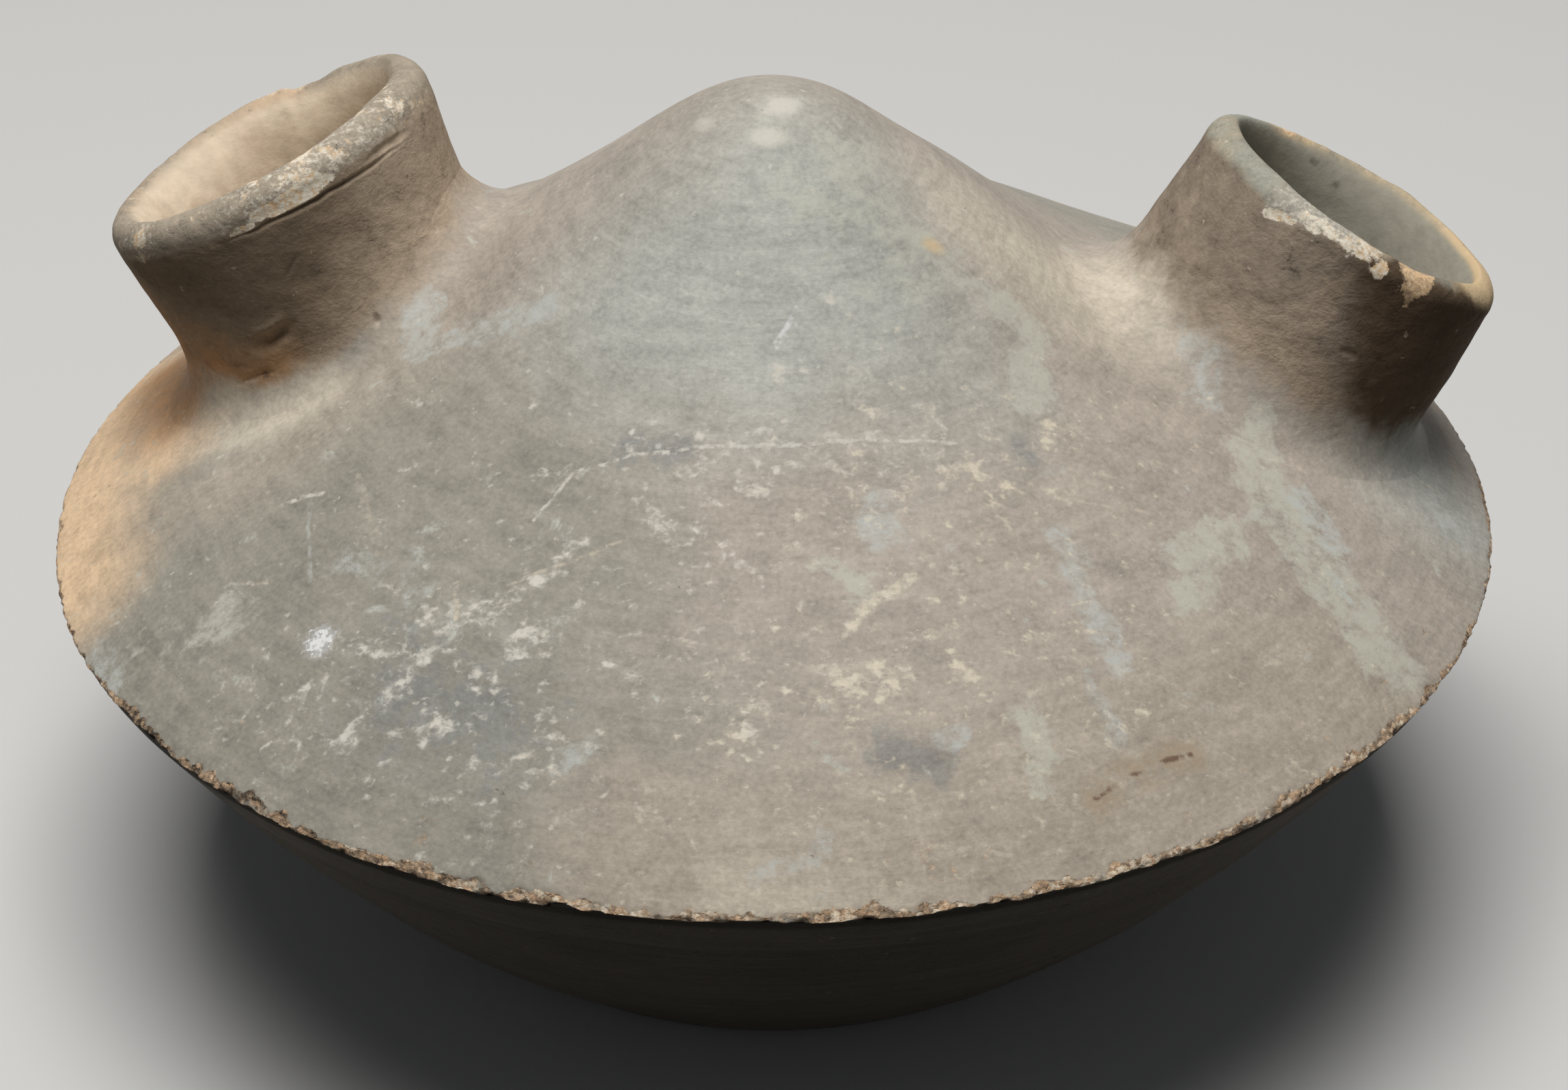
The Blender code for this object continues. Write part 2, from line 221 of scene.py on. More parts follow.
@dataclass(frozen=True)
class JarForm:
    """The turned shape of the jar's body in metres, and how its skin strays from it."""

    noise: ClayNoise
    radius: float = 0.100
    bowl_depth: float = 0.0574
    bowl_swell: float = 0.0029
    bowl_wall: float = 0.0060
    base_radius: float = 0.050
    base_thickness: float = 0.0085
    base_joint_height: float = 0.0035
    dome_rise: float = 0.0363
    peak_rise: float = 0.0252
    peak_spread: float = 0.0333
    shoulder_wall: float = 0.0050
    plug_radius: float = 0.0140
    seam_top_radius: float = 0.092
    seam_foot_height: float = 0.0484
    swells: tuple[Swell, ...] = (
        Swell(-36, 10, 16, 30, 0.75), Swell(-20, 8, 10, 30, -0.85), Swell(17, 8, 7, 30, -0.9),
        Swell(44, 10, 22, 30, -1.2), Swell(45, 12, 11, 30, -1.5), Swell(-88, 14, 11, 30, -0.8),
        Swell(84, 14, 7, 20, -0.8), Swell(50, 60, 18, 26, -1.7))

    def rise(self, reach: np.ndarray) -> np.ndarray:
        """Return the even shoulder's height at a radius."""
        part = reach / self.radius
        peak = np.exp(-(reach / self.peak_spread) ** 2) - math.exp(-(self.radius / self.peak_spread) ** 2)
        return self.bowl_depth + self.dome_rise * (1.0 - part * part) + self.peak_rise * peak

    def shoulder_normal(self, reach: np.ndarray) -> tuple[np.ndarray, np.ndarray]:
        """Return the even shoulder's outward direction at a radius, as radial and upward parts."""
        fall = 2.0 * self.dome_rise * reach / self.radius ** 2
        bell = np.exp(-(reach / self.peak_spread) ** 2)
        fall = fall + 2.0 * self.peak_rise * reach / self.peak_spread ** 2 * bell
        length = np.sqrt(fall * fall + 1.0)
        return fall / length, 1.0 / length

    def uneven(self, x: np.ndarray, y: np.ndarray) -> np.ndarray:
        """Return how far the hand-built shoulder stands above the even one."""
        spots = np.stack([x, y, np.zeros_like(x)], axis=-1)
        swell = 0.42 * self.noise.wave(spots, 0.075, 1) + 0.16 * self.noise.wave(spots, 0.027, 2)
        swell = swell + 0.05 * self.noise.wave(spots, 0.009, 3)
        return MM * (swell + sum(each.lift(x, y) for each in self.swells))

    def rim_scale(self, angles: np.ndarray) -> np.ndarray:
        """Return how much wider than even the rim is at each angle."""
        spots = turned(angles, np.full_like(angles, self.radius), np.zeros_like(angles))
        stray = 0.18 + 0.50 * self.noise.wave(spots, 0.055, 5) + 0.16 * self.noise.wave(spots, 0.017, 6)
        return 1.0 + MM * stray / self.radius

    def skin(self, x: np.ndarray, y: np.ndarray) -> np.ndarray:
        """Return the height of the shoulder's uneven skin."""
        reach = np.hypot(x, y)
        even = reach / self.rim_scale(np.arctan2(y, x))
        return self.rise(even) + self.uneven(x, y)

    def shoulder_point(self, angles: np.ndarray, reach: np.ndarray, depth: float) -> np.ndarray:
        """Return points on or under the shoulder's skin.

        Args:
            angles: Angles round the axis, in radians.
            reach: Radii on the even shoulder.
            depth: Distance below the skin.

        Returns:
            Points in metres.
        """
        scale = self.rim_scale(angles)
        outer = turned(angles, reach * scale, np.zeros_like(angles))
        lift = self.uneven(outer[..., 0], outer[..., 1])
        across, up = self.shoulder_normal(reach)
        return turned(angles, (reach - depth * across) * scale, self.rise(reach) - depth * up + lift)

    def bowl_point(self, angles: np.ndarray, height: np.ndarray, depth: float) -> np.ndarray:
        """Return points on or under the bowl's skin.

        Args:
            angles: Angles round the axis, in radians.
            height: Heights on the even bowl.
            depth: Distance below the skin.

        Returns:
            Points in metres.
        """
        chord = np.array([self.radius - self.base_radius, self.bowl_depth])
        length = math.hypot(*chord)
        curve = (length * length / 4.0 + self.bowl_swell ** 2) / (2.0 * self.bowl_swell)
        outward = np.array([chord[1], -chord[0]]) / length
        middle = np.array([self.base_radius, 0.0]) + chord / 2.0 - (curve - self.bowl_swell) * outward
        up = (height - middle[1]) / curve
        across = np.sqrt(1.0 - up * up)
        part = height / self.bowl_depth
        scale = 1.0 + (self.rim_scale(angles) - 1.0) * part
        rim = turned(angles, self.radius * self.rim_scale(angles), np.zeros_like(angles))
        lift = self.uneven(rim[..., 0], rim[..., 1]) * part * part
        even = turned(angles, middle[0] + curve * across, height)
        lumps = 0.38 * self.noise.wave(even, 0.034, 8) + 0.13 * self.noise.wave(even, 0.011, 9)
        fade = smooth_step(0.0, 0.006, height) * smooth_step(self.bowl_depth, self.bowl_depth - 0.006, height)
        under = depth - MM * lumps * fade
        return turned(angles, (middle[0] + (curve - under) * across) * scale, height - under * up + lift)


@dataclass(frozen=True)
class EdgeWear:
    """How the sharp edge of the body is worn to a bevel, crumbled and chipped."""

    noise: ClayNoise
    seed: int = 7
    chips: int = 300
    front_chips: int = 40
    notches: int = 260
    inward: Spot = (-0.75, -0.66)
    upper_cosine: float = 0.24
    lower_cosine: float = 0.95
    bite: float = 0.0005
    bite_rise: float = 0.3
    bevel_blur: float = 0.05 * MM
    skin_reach: Spot = (-1.0 * MM, -0.5 * MM)
    worn_blur: float = 0.10 * MM
    damage: Stops = (
        (-180, 0.30), (-152, 0.36), (-142, 0.80), (-128, 1.00), (-60, 1.00), (-40, 0.85), (-22, 0.50),
        (0, 0.45), (60, 0.70), (120, 0.70), (165, 0.35))

    def chip_list(self) -> np.ndarray:
        """Return the chips: angle in radians, offset across, half width and depth in metres."""
        draw = np.random.default_rng(self.seed)
        angle = draw.uniform(-math.pi, math.pi, self.chips)
        wide = MM * np.clip(draw.lognormal(-0.45, 0.50, self.chips), 0.3, 1.7)
        front = np.radians(draw.uniform(-160.0, -102.0, self.front_chips))
        front_wide = MM * np.clip(draw.lognormal(-0.05, 0.40, self.front_chips), 0.5, 1.9)
        angle = np.concatenate([angle, front])
        wide = np.concatenate([wide, front_wide])
        across = wide * draw.uniform(-1.0, 0.7, wide.size)
        depth = wide * draw.uniform(0.14, 0.42, wide.size)
        notch = MM * draw.uniform(0.35, 0.95, self.notches)
        angle = np.concatenate([angle, draw.uniform(-math.pi, math.pi, self.notches)])
        across = np.concatenate([across, -notch * draw.uniform(0.3, 1.2, self.notches)])
        depth = np.concatenate([depth, notch * draw.uniform(0.5, 1.1, self.notches)])
        return np.stack([angle, across, np.concatenate([wide, notch]), depth], axis=1)

    def cut(self, points: np.ndarray, angles: np.ndarray, across: np.ndarray, radius: float) -> np.ndarray:
        """Return how deep the edge is worn away, measured from where its two skins would meet.

        Args:
            points: Points of the unworn skin.
            angles: Their angles round the axis.
            across: Their distances from the edge, above 0 on the shoulder.
            radius: Radius of the edge.

        Returns:
            Depths in metres.
        """
        blunt = 0.32 + 0.14 * self.noise.wave(points, 0.016, 21) + 0.21 * self.noise.wave(points, 0.0055, 22)
        crumbs = 0.19 * self.noise.wave(points, 0.0021, 23) + 0.11 * self.noise.wave(points, 0.0011, 24)
        depth = MM * np.clip(blunt + crumbs, 0.05, 1.2)
        for angle, middle, wide, deep in self.chip_list():
            along = ((angles - angle + math.pi) % (2.0 * math.pi) - math.pi) * radius
            far = (along / wide) ** 2 + ((across - middle) / (1.1 * wide)) ** 2
            depth = depth + deep * np.clip(1.0 - far, 0.0, 1.0) ** 0.8
        return depth * round_blend(np.degrees(angles), self.damage)

    def undercut(self, points: np.ndarray, across: np.ndarray) -> np.ndarray:
        """Return how far the edge has crumbled away from below, from 0 to 1."""
        reach = 0.60 * self.noise.wave(points, 0.0055, 25) + 0.40 * self.noise.wave(points, 0.0020, 26) - 0.10
        low = smooth_step(0.20 * MM, -0.10 * MM, across - MM * reach)
        return low * smooth_step(-2.2 * MM, -0.8 * MM, across)

    def wear(self, points: np.ndarray, angles: np.ndarray, across: np.ndarray,
             radius: float) -> tuple[np.ndarray, np.ndarray, np.ndarray]:
        """Wear the edge down.

        Args:
            points: Points of the unworn skin.
            angles: Their angles round the axis.
            across: Their distances from the edge, above 0 on the shoulder.
            radius: Radius of the edge.

        Returns:
            The worn points, and marks from 0 to 1 of how broken and how undercut each one is.
        """
        inward = turned(angles, np.full_like(angles, self.inward[0]), np.full_like(angles, self.inward[1]))
        whole = np.where(across > 0.0, across * self.upper_cosine, -across * self.lower_cosine)
        depth = self.cut(points, angles, across, radius)
        gap = depth - whole
        taken = 0.5 * (gap + np.sqrt(gap * gap + self.bevel_blur * self.bevel_blur))
        taken = taken * smooth_step(*self.skin_reach, gap)
        worn = smooth_step(-self.worn_blur, self.worn_blur, gap)
        hollow = self.undercut(points, across) * round_blend(np.degrees(angles), self.damage)
        back = turned(angles, np.full_like(angles, -1.0), np.full_like(angles, self.bite_rise))
        return points + inward * taken[..., None] + back * (self.bite * hollow)[..., None], worn, hollow


class Side(Enum):
    """Which side of the jar a spout is on, seen from the front."""

    LEFT = "left"
    RIGHT = "right"


@dataclass(frozen=True)
class Gouge:
    """A dent or groove pressed in a spout's skin, in degrees and metres."""

    angle: float
    height: float
    half_angle: float
    half_height: float
    depth: float
    slant: float = 0.0
    broken: float = 0.0
    taper: float = 0.0

    def press(self, degrees: np.ndarray, heights: np.ndarray) -> np.ndarray:
        """Return how deep the dent is, from 0 to 1, at each angle and height."""
        along = turn_gap(degrees, self.angle) / self.half_angle
        up = (heights - self.height - self.slant * along) / self.half_height
        along = along / (1.0 + self.taper * np.clip(up, -1.0, 1.0))
        return np.clip(1.0 - along * along - up * up, 0.0, 1.0) ** 1.4


@dataclass(frozen=True)
class SpoutForm:
    """Sizes of one spout in metres and degrees, repeated from its solids, and its wear."""

    side: Side
    seat_inset: float
    seat_azimuth: float
    lean: float
    lean_azimuth: float
    length: float
    mouth_radius: float
    lip_thickness: float
    root_reach: Stops
    root_rise: Stops
    lip_lift: Stops
    lip_swell: Stops
    lip_broken: Stops
    lip_pale: Stops
    lip_warm: Stops
    lip_favour: Stops
    neck_swell: Stops
    bore_flare: float
    rim_start: float
    rim_end: float
    rim_shift: Stops
    gouges: tuple[Gouge, ...]
    neck_radius: float = 0.0234
    bore_radius: float = 0.0184
    neck_straight: float = 0.0080
    lip_drop: float = 0.0021
    lip_crown: float = 0.0031
    spine_drop: float = 0.0004

    @property
    def joint_height(self) -> float:
        """Height up the spout at which its lip starts."""
        return self.length - self.lip_drop

    @property
    def spine_height(self) -> float:
        """Height up the spout at which its lip is widest."""
        return self.length - self.spine_drop

    def outer(self, degrees: np.ndarray, heights: np.ndarray) -> np.ndarray:
        """Return the outer radius of the neck, which opens smoothly to the lip's widest line."""
        part = smooth_step(self.neck_straight, self.spine_height, heights)
        swell = MM * round_blend(degrees, self.neck_swell) * (1.0 - part)
        return self.neck_radius + swell + part * (self.mouth_radius - self.neck_radius)


LEFT_SPOUT = SpoutForm(
    side=Side.LEFT, seat_inset=0.0393, seat_azimuth=167.2, lean=27.0, lean_azimuth=165.8,
    length=0.0233, mouth_radius=0.0245, lip_thickness=0.0060,
    root_reach=((0, 9.5), (30, 9.0), (75, 5.5), (104, 5.5), (140, 8.0), (180, 10.0), (225, 9.5), (284, 7.0)),
    root_rise=((0, 11.0), (30, 10.5), (75, 6.0), (104, 5.5), (140, 6.5), (180, 7.5), (225, 7.5), (284, 7.0)),
    lip_lift=((0, 0.0), (180, 0.0), (225, 0.0), (240, -0.3), (256, -0.5), (270, -0.9), (279, -0.8),
              (286, 0.25), (303, 0.6), (318, 0.5), (340, 0.1)),
    lip_swell=((0, -0.6), (60, 0.0), (120, 0.2), (165, 0.4), (200, 0.0), (240, -1.2), (300, -1.4),
               (340, -1.0)),
    lip_broken=((0, 0.2), (40, 0.15), (61, 0.45), (72, 0.2), (100, 0.3), (112, 0.55), (134, 0.55), (146, 0.3),
                (176, 0.45), (200, 0.2), (262, 0.15), (281, 0.5), (300, 0.3)),
    lip_pale=((0, 0.2), (40, 0.4), (61, 0.6), (80, 0.25), (105, 0.6), (150, 1.0), (175, 0.5), (210, 0.1),
              (300, 0.1)),
    lip_warm=((0, 0.3), (40, 0.15), (100, 0.1), (200, 0.0), (262, 0.1), (288, 0.9), (320, 0.6), (345, 0.4)),
    lip_favour=((0, 0.95), (105, 1.05), (140, 1.05), (180, 0.95)),
    neck_swell=((0, 0.5), (45, 0.5), (104, 0.0), (150, -0.3), (180, -0.9), (225, -1.0), (284, 0.0)),
    bore_flare=0.0090, rim_start=-0.0004, rim_end=0.0025, rim_shift=((0, 0.0), (180, 0.0)),
    gouges=(
        Gouge(131.0, 0.0204, 40.0, 0.0005, 0.00055, -0.0008),
        Gouge(158.0, 0.0209, 12.0, 0.0009, 0.0004, -0.0004),
        Gouge(91.0, 0.0059, 11.0, 0.0017, 0.0010, 0.0007),
        Gouge(92.0, 0.0078, 11.0, 0.0007, -0.0003, 0.0007),
        Gouge(76.0, 0.0016, 13.0, 0.0004, 0.0004, 0.0003),
        Gouge(124.0, 0.0018, 2.4, 0.0009, 0.0007),
        Gouge(121.0, 0.0223, 20.0, 0.0018, 0.00012, -0.0002, 1.4),
        Gouge(102.0, 0.0218, 7.0, 0.0010, 0.00004, 0.0, 0.8),
        Gouge(61.0, 0.0247, 6.0, 0.0015, 0.0001, 0.0, 1.0),
        Gouge(45.0, 0.0240, 3.6, 0.0011, 0.0001, 0.0, 0.8),
        Gouge(109.0, 0.0140, 6.0, 0.0004, 0.0002, 0.0012),
    ),
)
RIGHT_SPOUT = SpoutForm(
    side=Side.RIGHT, seat_inset=0.0309, seat_azimuth=4.5, lean=31.2, lean_azimuth=13.4,
    length=0.0215, mouth_radius=0.0231, lip_thickness=0.0048,
    root_reach=((0, 6.5), (77, 6.0), (135, 9.0), (180, 11.0), (225, 9.0), (257, 7.0), (300, 6.0), (330, 6.0)),
    root_rise=((0, 8.0), (77, 7.0), (135, 10.0), (180, 11.0), (225, 10.0), (257, 8.0), (300, 7.5),
               (330, 7.5)),
    lip_lift=((0, 0.3), (26, 0.6), (44, 0.75), (61, 0.3), (77, 0.25), (110, 0.1), (150, 0.35), (200, 0.25),
              (235, -0.1), (262, -0.35), (300, 0.0)),
    lip_swell=((0, 1.8), (40, 0.4), (90, -0.6), (120, 0.2), (160, 0.9), (200, 0.7), (235, 0.0), (270, 0.4),
               (310, 1.8), (335, 2.2)),
    lip_broken=((0, 0.1), (60, 0.1), (99, 0.5), (115, 0.1), (200, 0.1), (222, 0.3), (245, 0.4), (260, 0.4),
                (276, 0.2), (310, 0.1)),
    lip_pale=((0, 0.1), (90, 0.1), (130, 0.3), (200, 0.3), (222, 1.0), (248, 1.0), (262, 0.4), (300, 0.1)),
    lip_warm=((0, 0.8), (30, 0.5), (70, 0.2), (99, 0.7), (115, 0.0), (200, 0.0), (240, 0.1), (252, 0.5),
              (285, 0.4), (300, 0.9), (335, 1.1)),
    lip_favour=((0, 0.7), (99, 0.6), (200, 1.25), (240, 1.20), (254, 0.95), (262, 0.55), (300, 0.6)),
    neck_swell=((0, 0.4), (90, 0.3), (180, 0.0), (270, 0.3)),
    bore_flare=0.0065, rim_start=-0.0002, rim_end=0.0036,
    rim_shift=((0, 0.6), (60, 0.2), (120, 0.6), (200, 1.0), (207, 0.7), (213, -0.7), (221, 0.4), (232, 1.6),
               (248, 2.2), (262, 3.4), (290, 3.2), (310, 1.4), (340, 0.6)),
    gouges=(
        Gouge(270.0, 0.0250, 13.5, 0.0078, 0.00018, 0.0, 1.0, 0.8),
        Gouge(255.0, 0.0219, 4.0, 0.0018, 0.00005, 0.0, 1.0),
        Gouge(246.0, 0.0231, 11.5, 0.0018, 0.00008, 0.0001, 0.84),
        Gouge(230.0, 0.0228, 13.0, 0.0017, 0.00008, 0.0003, 0.80),
        Gouge(217.0, 0.0207, 9.0, 0.0012, 0.00012, 0.0012, 0.90),
        Gouge(99.0, 0.0240, 6.0, 0.0019, 0.0001, 0.0, 1.0),
        Gouge(262.0, 0.0105, 3.0, 0.0008, 0.0003),
    ),
)


class Val:
    """One value in a material; sums and products of values add Math nodes."""

    def __init__(self, tree: "ShaderTree", socket: bpy.types.NodeSocket) -> None:
        """Wrap a node's output socket."""
        self.tree = tree
        self.socket = socket

    def join(self, operation: str, other: "Val | float", swapped: bool = False) -> "Val":
        """Add a Math node on this value and another.

        Args:
            operation: The Math node's operation.
            other: The other value.
            swapped: Whether the other value comes first.

        Returns:
            The node's result.
        """
        pair = (other, self) if swapped else (self, other)
        return self.tree.node("ShaderNodeMath", {"operation": operation}, {0: pair[0], 1: pair[1]})

    def __add__(self, other: "Val | float") -> "Val":
        """Return the sum."""
        return self.join("ADD", other)

    __radd__ = __add__

    def __mul__(self, other: "Val | float") -> "Val":
        """Return the product."""
        return self.join("MULTIPLY", other)

    __rmul__ = __mul__

    def __sub__(self, other: "Val | float") -> "Val":
        """Return the difference."""
        return self.join("SUBTRACT", other)

    def __rsub__(self, other: "Val | float") -> "Val":
        """Return the difference, the other value first."""
        return self.join("SUBTRACT", other, True)

    def low(self, other: "Val | float") -> "Val":
        """Return the lower of the two values."""
        return self.join("MINIMUM", other)

    def high(self, other: "Val | float") -> "Val":
        """Return the higher of the two values."""
        return self.join("MAXIMUM", other)

    def step(self, low: float, high: float) -> "Val":
        """Ease from 0 at low to 1 at high."""
        return self.tree.node(
            "ShaderNodeMapRange", {"interpolation_type": "SMOOTHSTEP"},
            {"Value": self, "From Min": low, "From Max": high})


Feed = Val | float | tuple[float, ...]


@dataclass(frozen=True)
class Coat:
    """What one clay surface looks like: colour, roughness, and relief in millimetres."""

    colour: Val
    rough: Val
    relief: Val

    def under(self, other: "Coat", part: Val) -> "Coat":
        """Return this coat where part is 0 and the other where it is 1."""
        return Coat(
            self.colour.tree.mix(self.colour, other.colour, part),
            self.rough + (other.rough - self.rough) * part,
            self.relief + (other.relief - self.relief) * part)


class ShaderTree:
    """The nodes of one material, or of a coat that several materials share."""

    COAT_SOCKETS = (
        ("Colour", "NodeSocketColor"), ("Rough", "NodeSocketFloat"), ("Relief", "NodeSocketFloat"))

    def __init__(self, inner: bpy.types.NodeTree) -> None:
        """Start on an empty tree of nodes."""
        self.inner = inner
        inner.nodes.clear()
        self.place = self.node("ShaderNodeTexCoord", out="Object")

    def add(self, kind: str, settings: dict | None = None, feeds: dict | None = None) -> bpy.types.Node:
        """Add a node.

        Args:
            kind: The node's type.
            settings: Its own settings, set first.
            feeds: A value or link for each socket named or numbered.

        Returns:
            The node.
        """
        made = self.inner.nodes.new(kind)
        for name, value in (settings or {}).items():
            setattr(made, name, value)
        for name, value in (feeds or {}).items():
            socket = made.inputs[name]
            if isinstance(value, Val):
                self.inner.links.new(value.socket, socket)
            elif isinstance(value, tuple) and socket.type == "RGBA":
                socket.default_value = (*value, 1.0)
            else:
                socket.default_value = value
        return made

    def node(self, kind: str, settings: dict | None = None, feeds: dict | None = None,
             out: int | str = 0) -> Val:
        """Add a node and return one of its outputs."""
        return Val(self, self.add(kind, settings, feeds).outputs[out])

    def share(self, name: str, lay: Callable[["ShaderTree"], Coat]) -> Coat:
        """Return a coat from a group of nodes, which is made at its first use.

        Args:
            name: The coat's name.
            lay: What lays the coat down.

        Returns:
            The coat.
        """
        group = bpy.data.node_groups.get(name)
        if group is None:
            group = bpy.data.node_groups.new(name, "ShaderNodeTree")
            for socket, kind in self.COAT_SOCKETS:
                group.interface.new_socket(socket, in_out="OUTPUT", socket_type=kind)
            inner = ShaderTree(group)
            coat = lay(inner)
            inner.add("NodeGroupOutput", None, {
                "Colour": coat.colour, "Rough": coat.rough, "Relief": coat.relief})
        used = self.add("ShaderNodeGroup", {"node_tree": group})
        return Coat(*(Val(self, used.outputs[socket]) for socket, _ in self.COAT_SOCKETS))

    def mix(self, first: Feed, second: Feed, part: Feed, kind: str = "MIX") -> Val:
        """Return a colour between two, by a part from 0 to 1."""
        return self.node(
            "ShaderNodeMix", {"data_type": "RGBA", "blend_type": kind}, {0: part, 6: first, 7: second}, 2)

    def shade(self, colour: Feed, level: Val) -> Val:
        """Return a colour times a level."""
        return self.mix(colour, level, 1.0, "MULTIPLY")

    def vector(self, operation: str, first: Feed, second: Feed, out: int | str = 0) -> Val:
        """Return a Vector Math node's result on two vectors."""
        return self.node("ShaderNodeVectorMath", {"operation": operation}, {0: first, 1: second}, out)

    def scale(self, vector: Feed, amount: Feed) -> Val:
        """Return a vector times an amount."""
        return self.node("ShaderNodeVectorMath", {"operation": "SCALE"}, {0: vector, "Scale": amount})

    def length(self, vector: Val) -> Val:
        """Return a vector's length."""
        return self.node("ShaderNodeVectorMath", {"operation": "LENGTH"}, {0: vector}, "Value")

    def cloud(self, size: float, detail: float, rough: float, shift: Place, stretch: Place = EVEN,
              bend: float = 0.0, tilt: float = 0.0) -> Val:
        """Return soft noise of about 0.25 to 0.75.

        Args:
            size: Width of one cloud in metres.
            detail: How many finer layers it has.
            rough: How strong they are.
            shift: Offset that tells one use from another.
            stretch: How much longer a cloud is along each axis.
            bend: How far the clouds are twisted.
            tilt: Turn of the clouds about the Y axis, in degrees.

        Returns:
            The noise.
        """
        place = self.place
        if tilt:
            place = self.node("ShaderNodeVectorRotate", {"rotation_type": "Y_AXIS"}, {
                "Vector": place, "Angle": math.radians(tilt)})
        if stretch != EVEN:
            place = self.vector("DIVIDE", place, stretch)
        place = self.vector("ADD", place, shift)
        return self.node("ShaderNodeTexNoise", None, {
            "Vector": place, "Scale": 1.0 / size, "Detail": detail, "Roughness": rough, "Distortion": bend})

    def cells(self, spacing: float, shift: Place, stretch: Place = EVEN) -> tuple[Val, Val]:
        """Divide the surface into uneven grains.

        Args:
            spacing: Distance between grains in metres.
            shift: Offset that tells one use from another.
            stretch: How much longer a grain is along each axis.

        Returns:
            A number from 0 to 1 for each grain, and the distance from its middle in spacings.
        """
        jostle = self.node("ShaderNodeTexNoise", None, {
            "Vector": self.place, "Scale": 3.0 / spacing, "Detail": 1.0}, 1)
        moved = self.scale(jostle, 0.70 * spacing)
        place = self.vector("DIVIDE", self.vector("ADD", self.place, moved), stretch)
        cells = self.add("ShaderNodeTexVoronoi", None, {
            "Vector": self.vector("ADD", place, shift), "Scale": 1.0 / spacing})
        luck = self.node("ShaderNodeSeparateColor", None, {0: Val(self, cells.outputs["Color"])})
        return luck, Val(self, cells.outputs["Distance"])

    def dots(self, spacing: float, share: Val | float, wide: float, shift: Place,
             stretch: Place = EVEN, soft: float = 0.06) -> Val:
        """Return scattered uneven dots.

        Args:
            spacing: Distance between dots in metres.
            share: Share of the dots that show, above 0.
            wide: Radius of the largest dots, in spacings.
            shift: Offset that tells one use from another.
            stretch: How much longer a dot is along each axis.
            soft: Width of a dot's fading edge, in spacings.

        Returns:
            A mask, 1 on a dot.
        """
        luck, distance = self.cells(spacing, shift, stretch)
        size = self.node("ShaderNodeMapRange", None, {
            "Value": luck, "From Min": 0.0, "From Max": share, "To Min": wide, "To Max": 0.0})
        return (size - distance).step(0.0, soft)

    def blob(self, place: Place, reach: Place, edge: Val, ragged: float, soft: float) -> Val:
        """Return a mask round a place.

        Args:
            place: Its middle, in metres.
            reach: Its half widths, in metres.
            edge: Noise that breaks its outline.
            ragged: How far that noise moves the outline.
            soft: Width of its fading edge, as a share of its reach.

        Returns:
            A mask, 1 at the middle.
        """
        away = self.vector("DIVIDE", self.vector("SUBTRACT", self.place, place), reach)
        return (self.length(away) + (edge - 0.5) * ragged).step(1.0, 1.0 - soft)

    def line(self, flat: Val, points: Sequence[Spot]) -> Val:
        """Return the distance from a line through points, seen from above.

        Args:
            flat: The place seen from above.
            points: The line's points, in millimetres.

        Returns:
            The distance in metres.
        """
        nearest: Val | None = None
        for start, end in zip(points[:-1], points[1:]):
            along = (MM * (end[0] - start[0]), MM * (end[1] - start[1]), 0.0)
            square = along[0] ** 2 + along[1] ** 2
            away = self.vector("SUBTRACT", flat, (MM * start[0], MM * start[1], 0.0))
            part = (self.vector("DOT_PRODUCT", away, along, "Value") * (1.0 / square)).high(0.0).low(1.0)
            foot = self.scale(along, part)
            gap = self.length(self.vector("SUBTRACT", away, foot))
            nearest = gap if nearest is None else nearest.low(gap)
        return nearest

    def mark(self, name: str) -> Val:
        """Return a mark that is stored on the piece's points."""
        return self.node("ShaderNodeAttribute", {"attribute_name": name}, None, "Fac")

    def finish(self, coat: Coat, specular: float) -> None:
        """End a material in its shader.

        Args:
            coat: Its colour, roughness and relief.
            specular: How strongly it reflects.
        """
        normal = self.node("ShaderNodeBump", None, {"Height": coat.relief, "Distance": MM, "Strength": 1.0})
        shader = self.node("ShaderNodeBsdfPrincipled", None, {
            "Base Color": coat.colour, "Roughness": coat.rough, "Normal": normal,
            "Specular IOR Level": specular})
        self.add("ShaderNodeOutputMaterial", None, {"Surface": shader})


def start_material(name: str) -> tuple[bpy.types.Material, ShaderTree]:
    """Start an empty material and return it with its nodes."""
    made = bpy.data.materials.new(name)
    made.use_nodes = True
    return made, ShaderTree(made.node_tree)


class Mark(Enum):
    """What the marks on the shoulder's points stand for."""

    COOL = "cool"
    OLIVE = "olive"
    TAN = "tan"
    FIRE = "fire"
    # Painted shade: the left neck's shadow on the orange fire-cloud.
    NECK_SHADOW_ORANGE = "neck_shadow_orange"
    GREEN = "green"
    BLUE = "blue"
    FLAKED = "flaked"
    DUSK = "dusk"
    # Partly painted light: one pale trail lightens the shoulder where the left neck's shadow falls.
    PALE = "pale"


@dataclass(frozen=True)
class Trail:
    """A patch of a mark along a line on the shoulder, seen from above, in millimetres."""

    line: tuple[Spot, ...]
    width: float
    strength: float = 1.0

    def amount(self, x: np.ndarray, y: np.ndarray) -> np.ndarray:
        """Return how strong the mark is: its strength on the line, 0 at its width, then below 0."""
        nearest = np.full(x.shape, np.inf)
        for start, end in zip(self.line[:-1], self.line[1:]):
            along = np.array(end) - np.array(start)
            part = ((x - start[0]) * along[0] + (y - start[1]) * along[1]) / max(float(along @ along), 1e-9)
            part = np.clip(part, 0.0, 1.0)
            gap = np.hypot(x - start[0] - part * along[0], y - start[1] - part * along[1])
            nearest = np.minimum(nearest, gap)
        return self.strength * np.maximum(1.0 - nearest / self.width, -1.0)


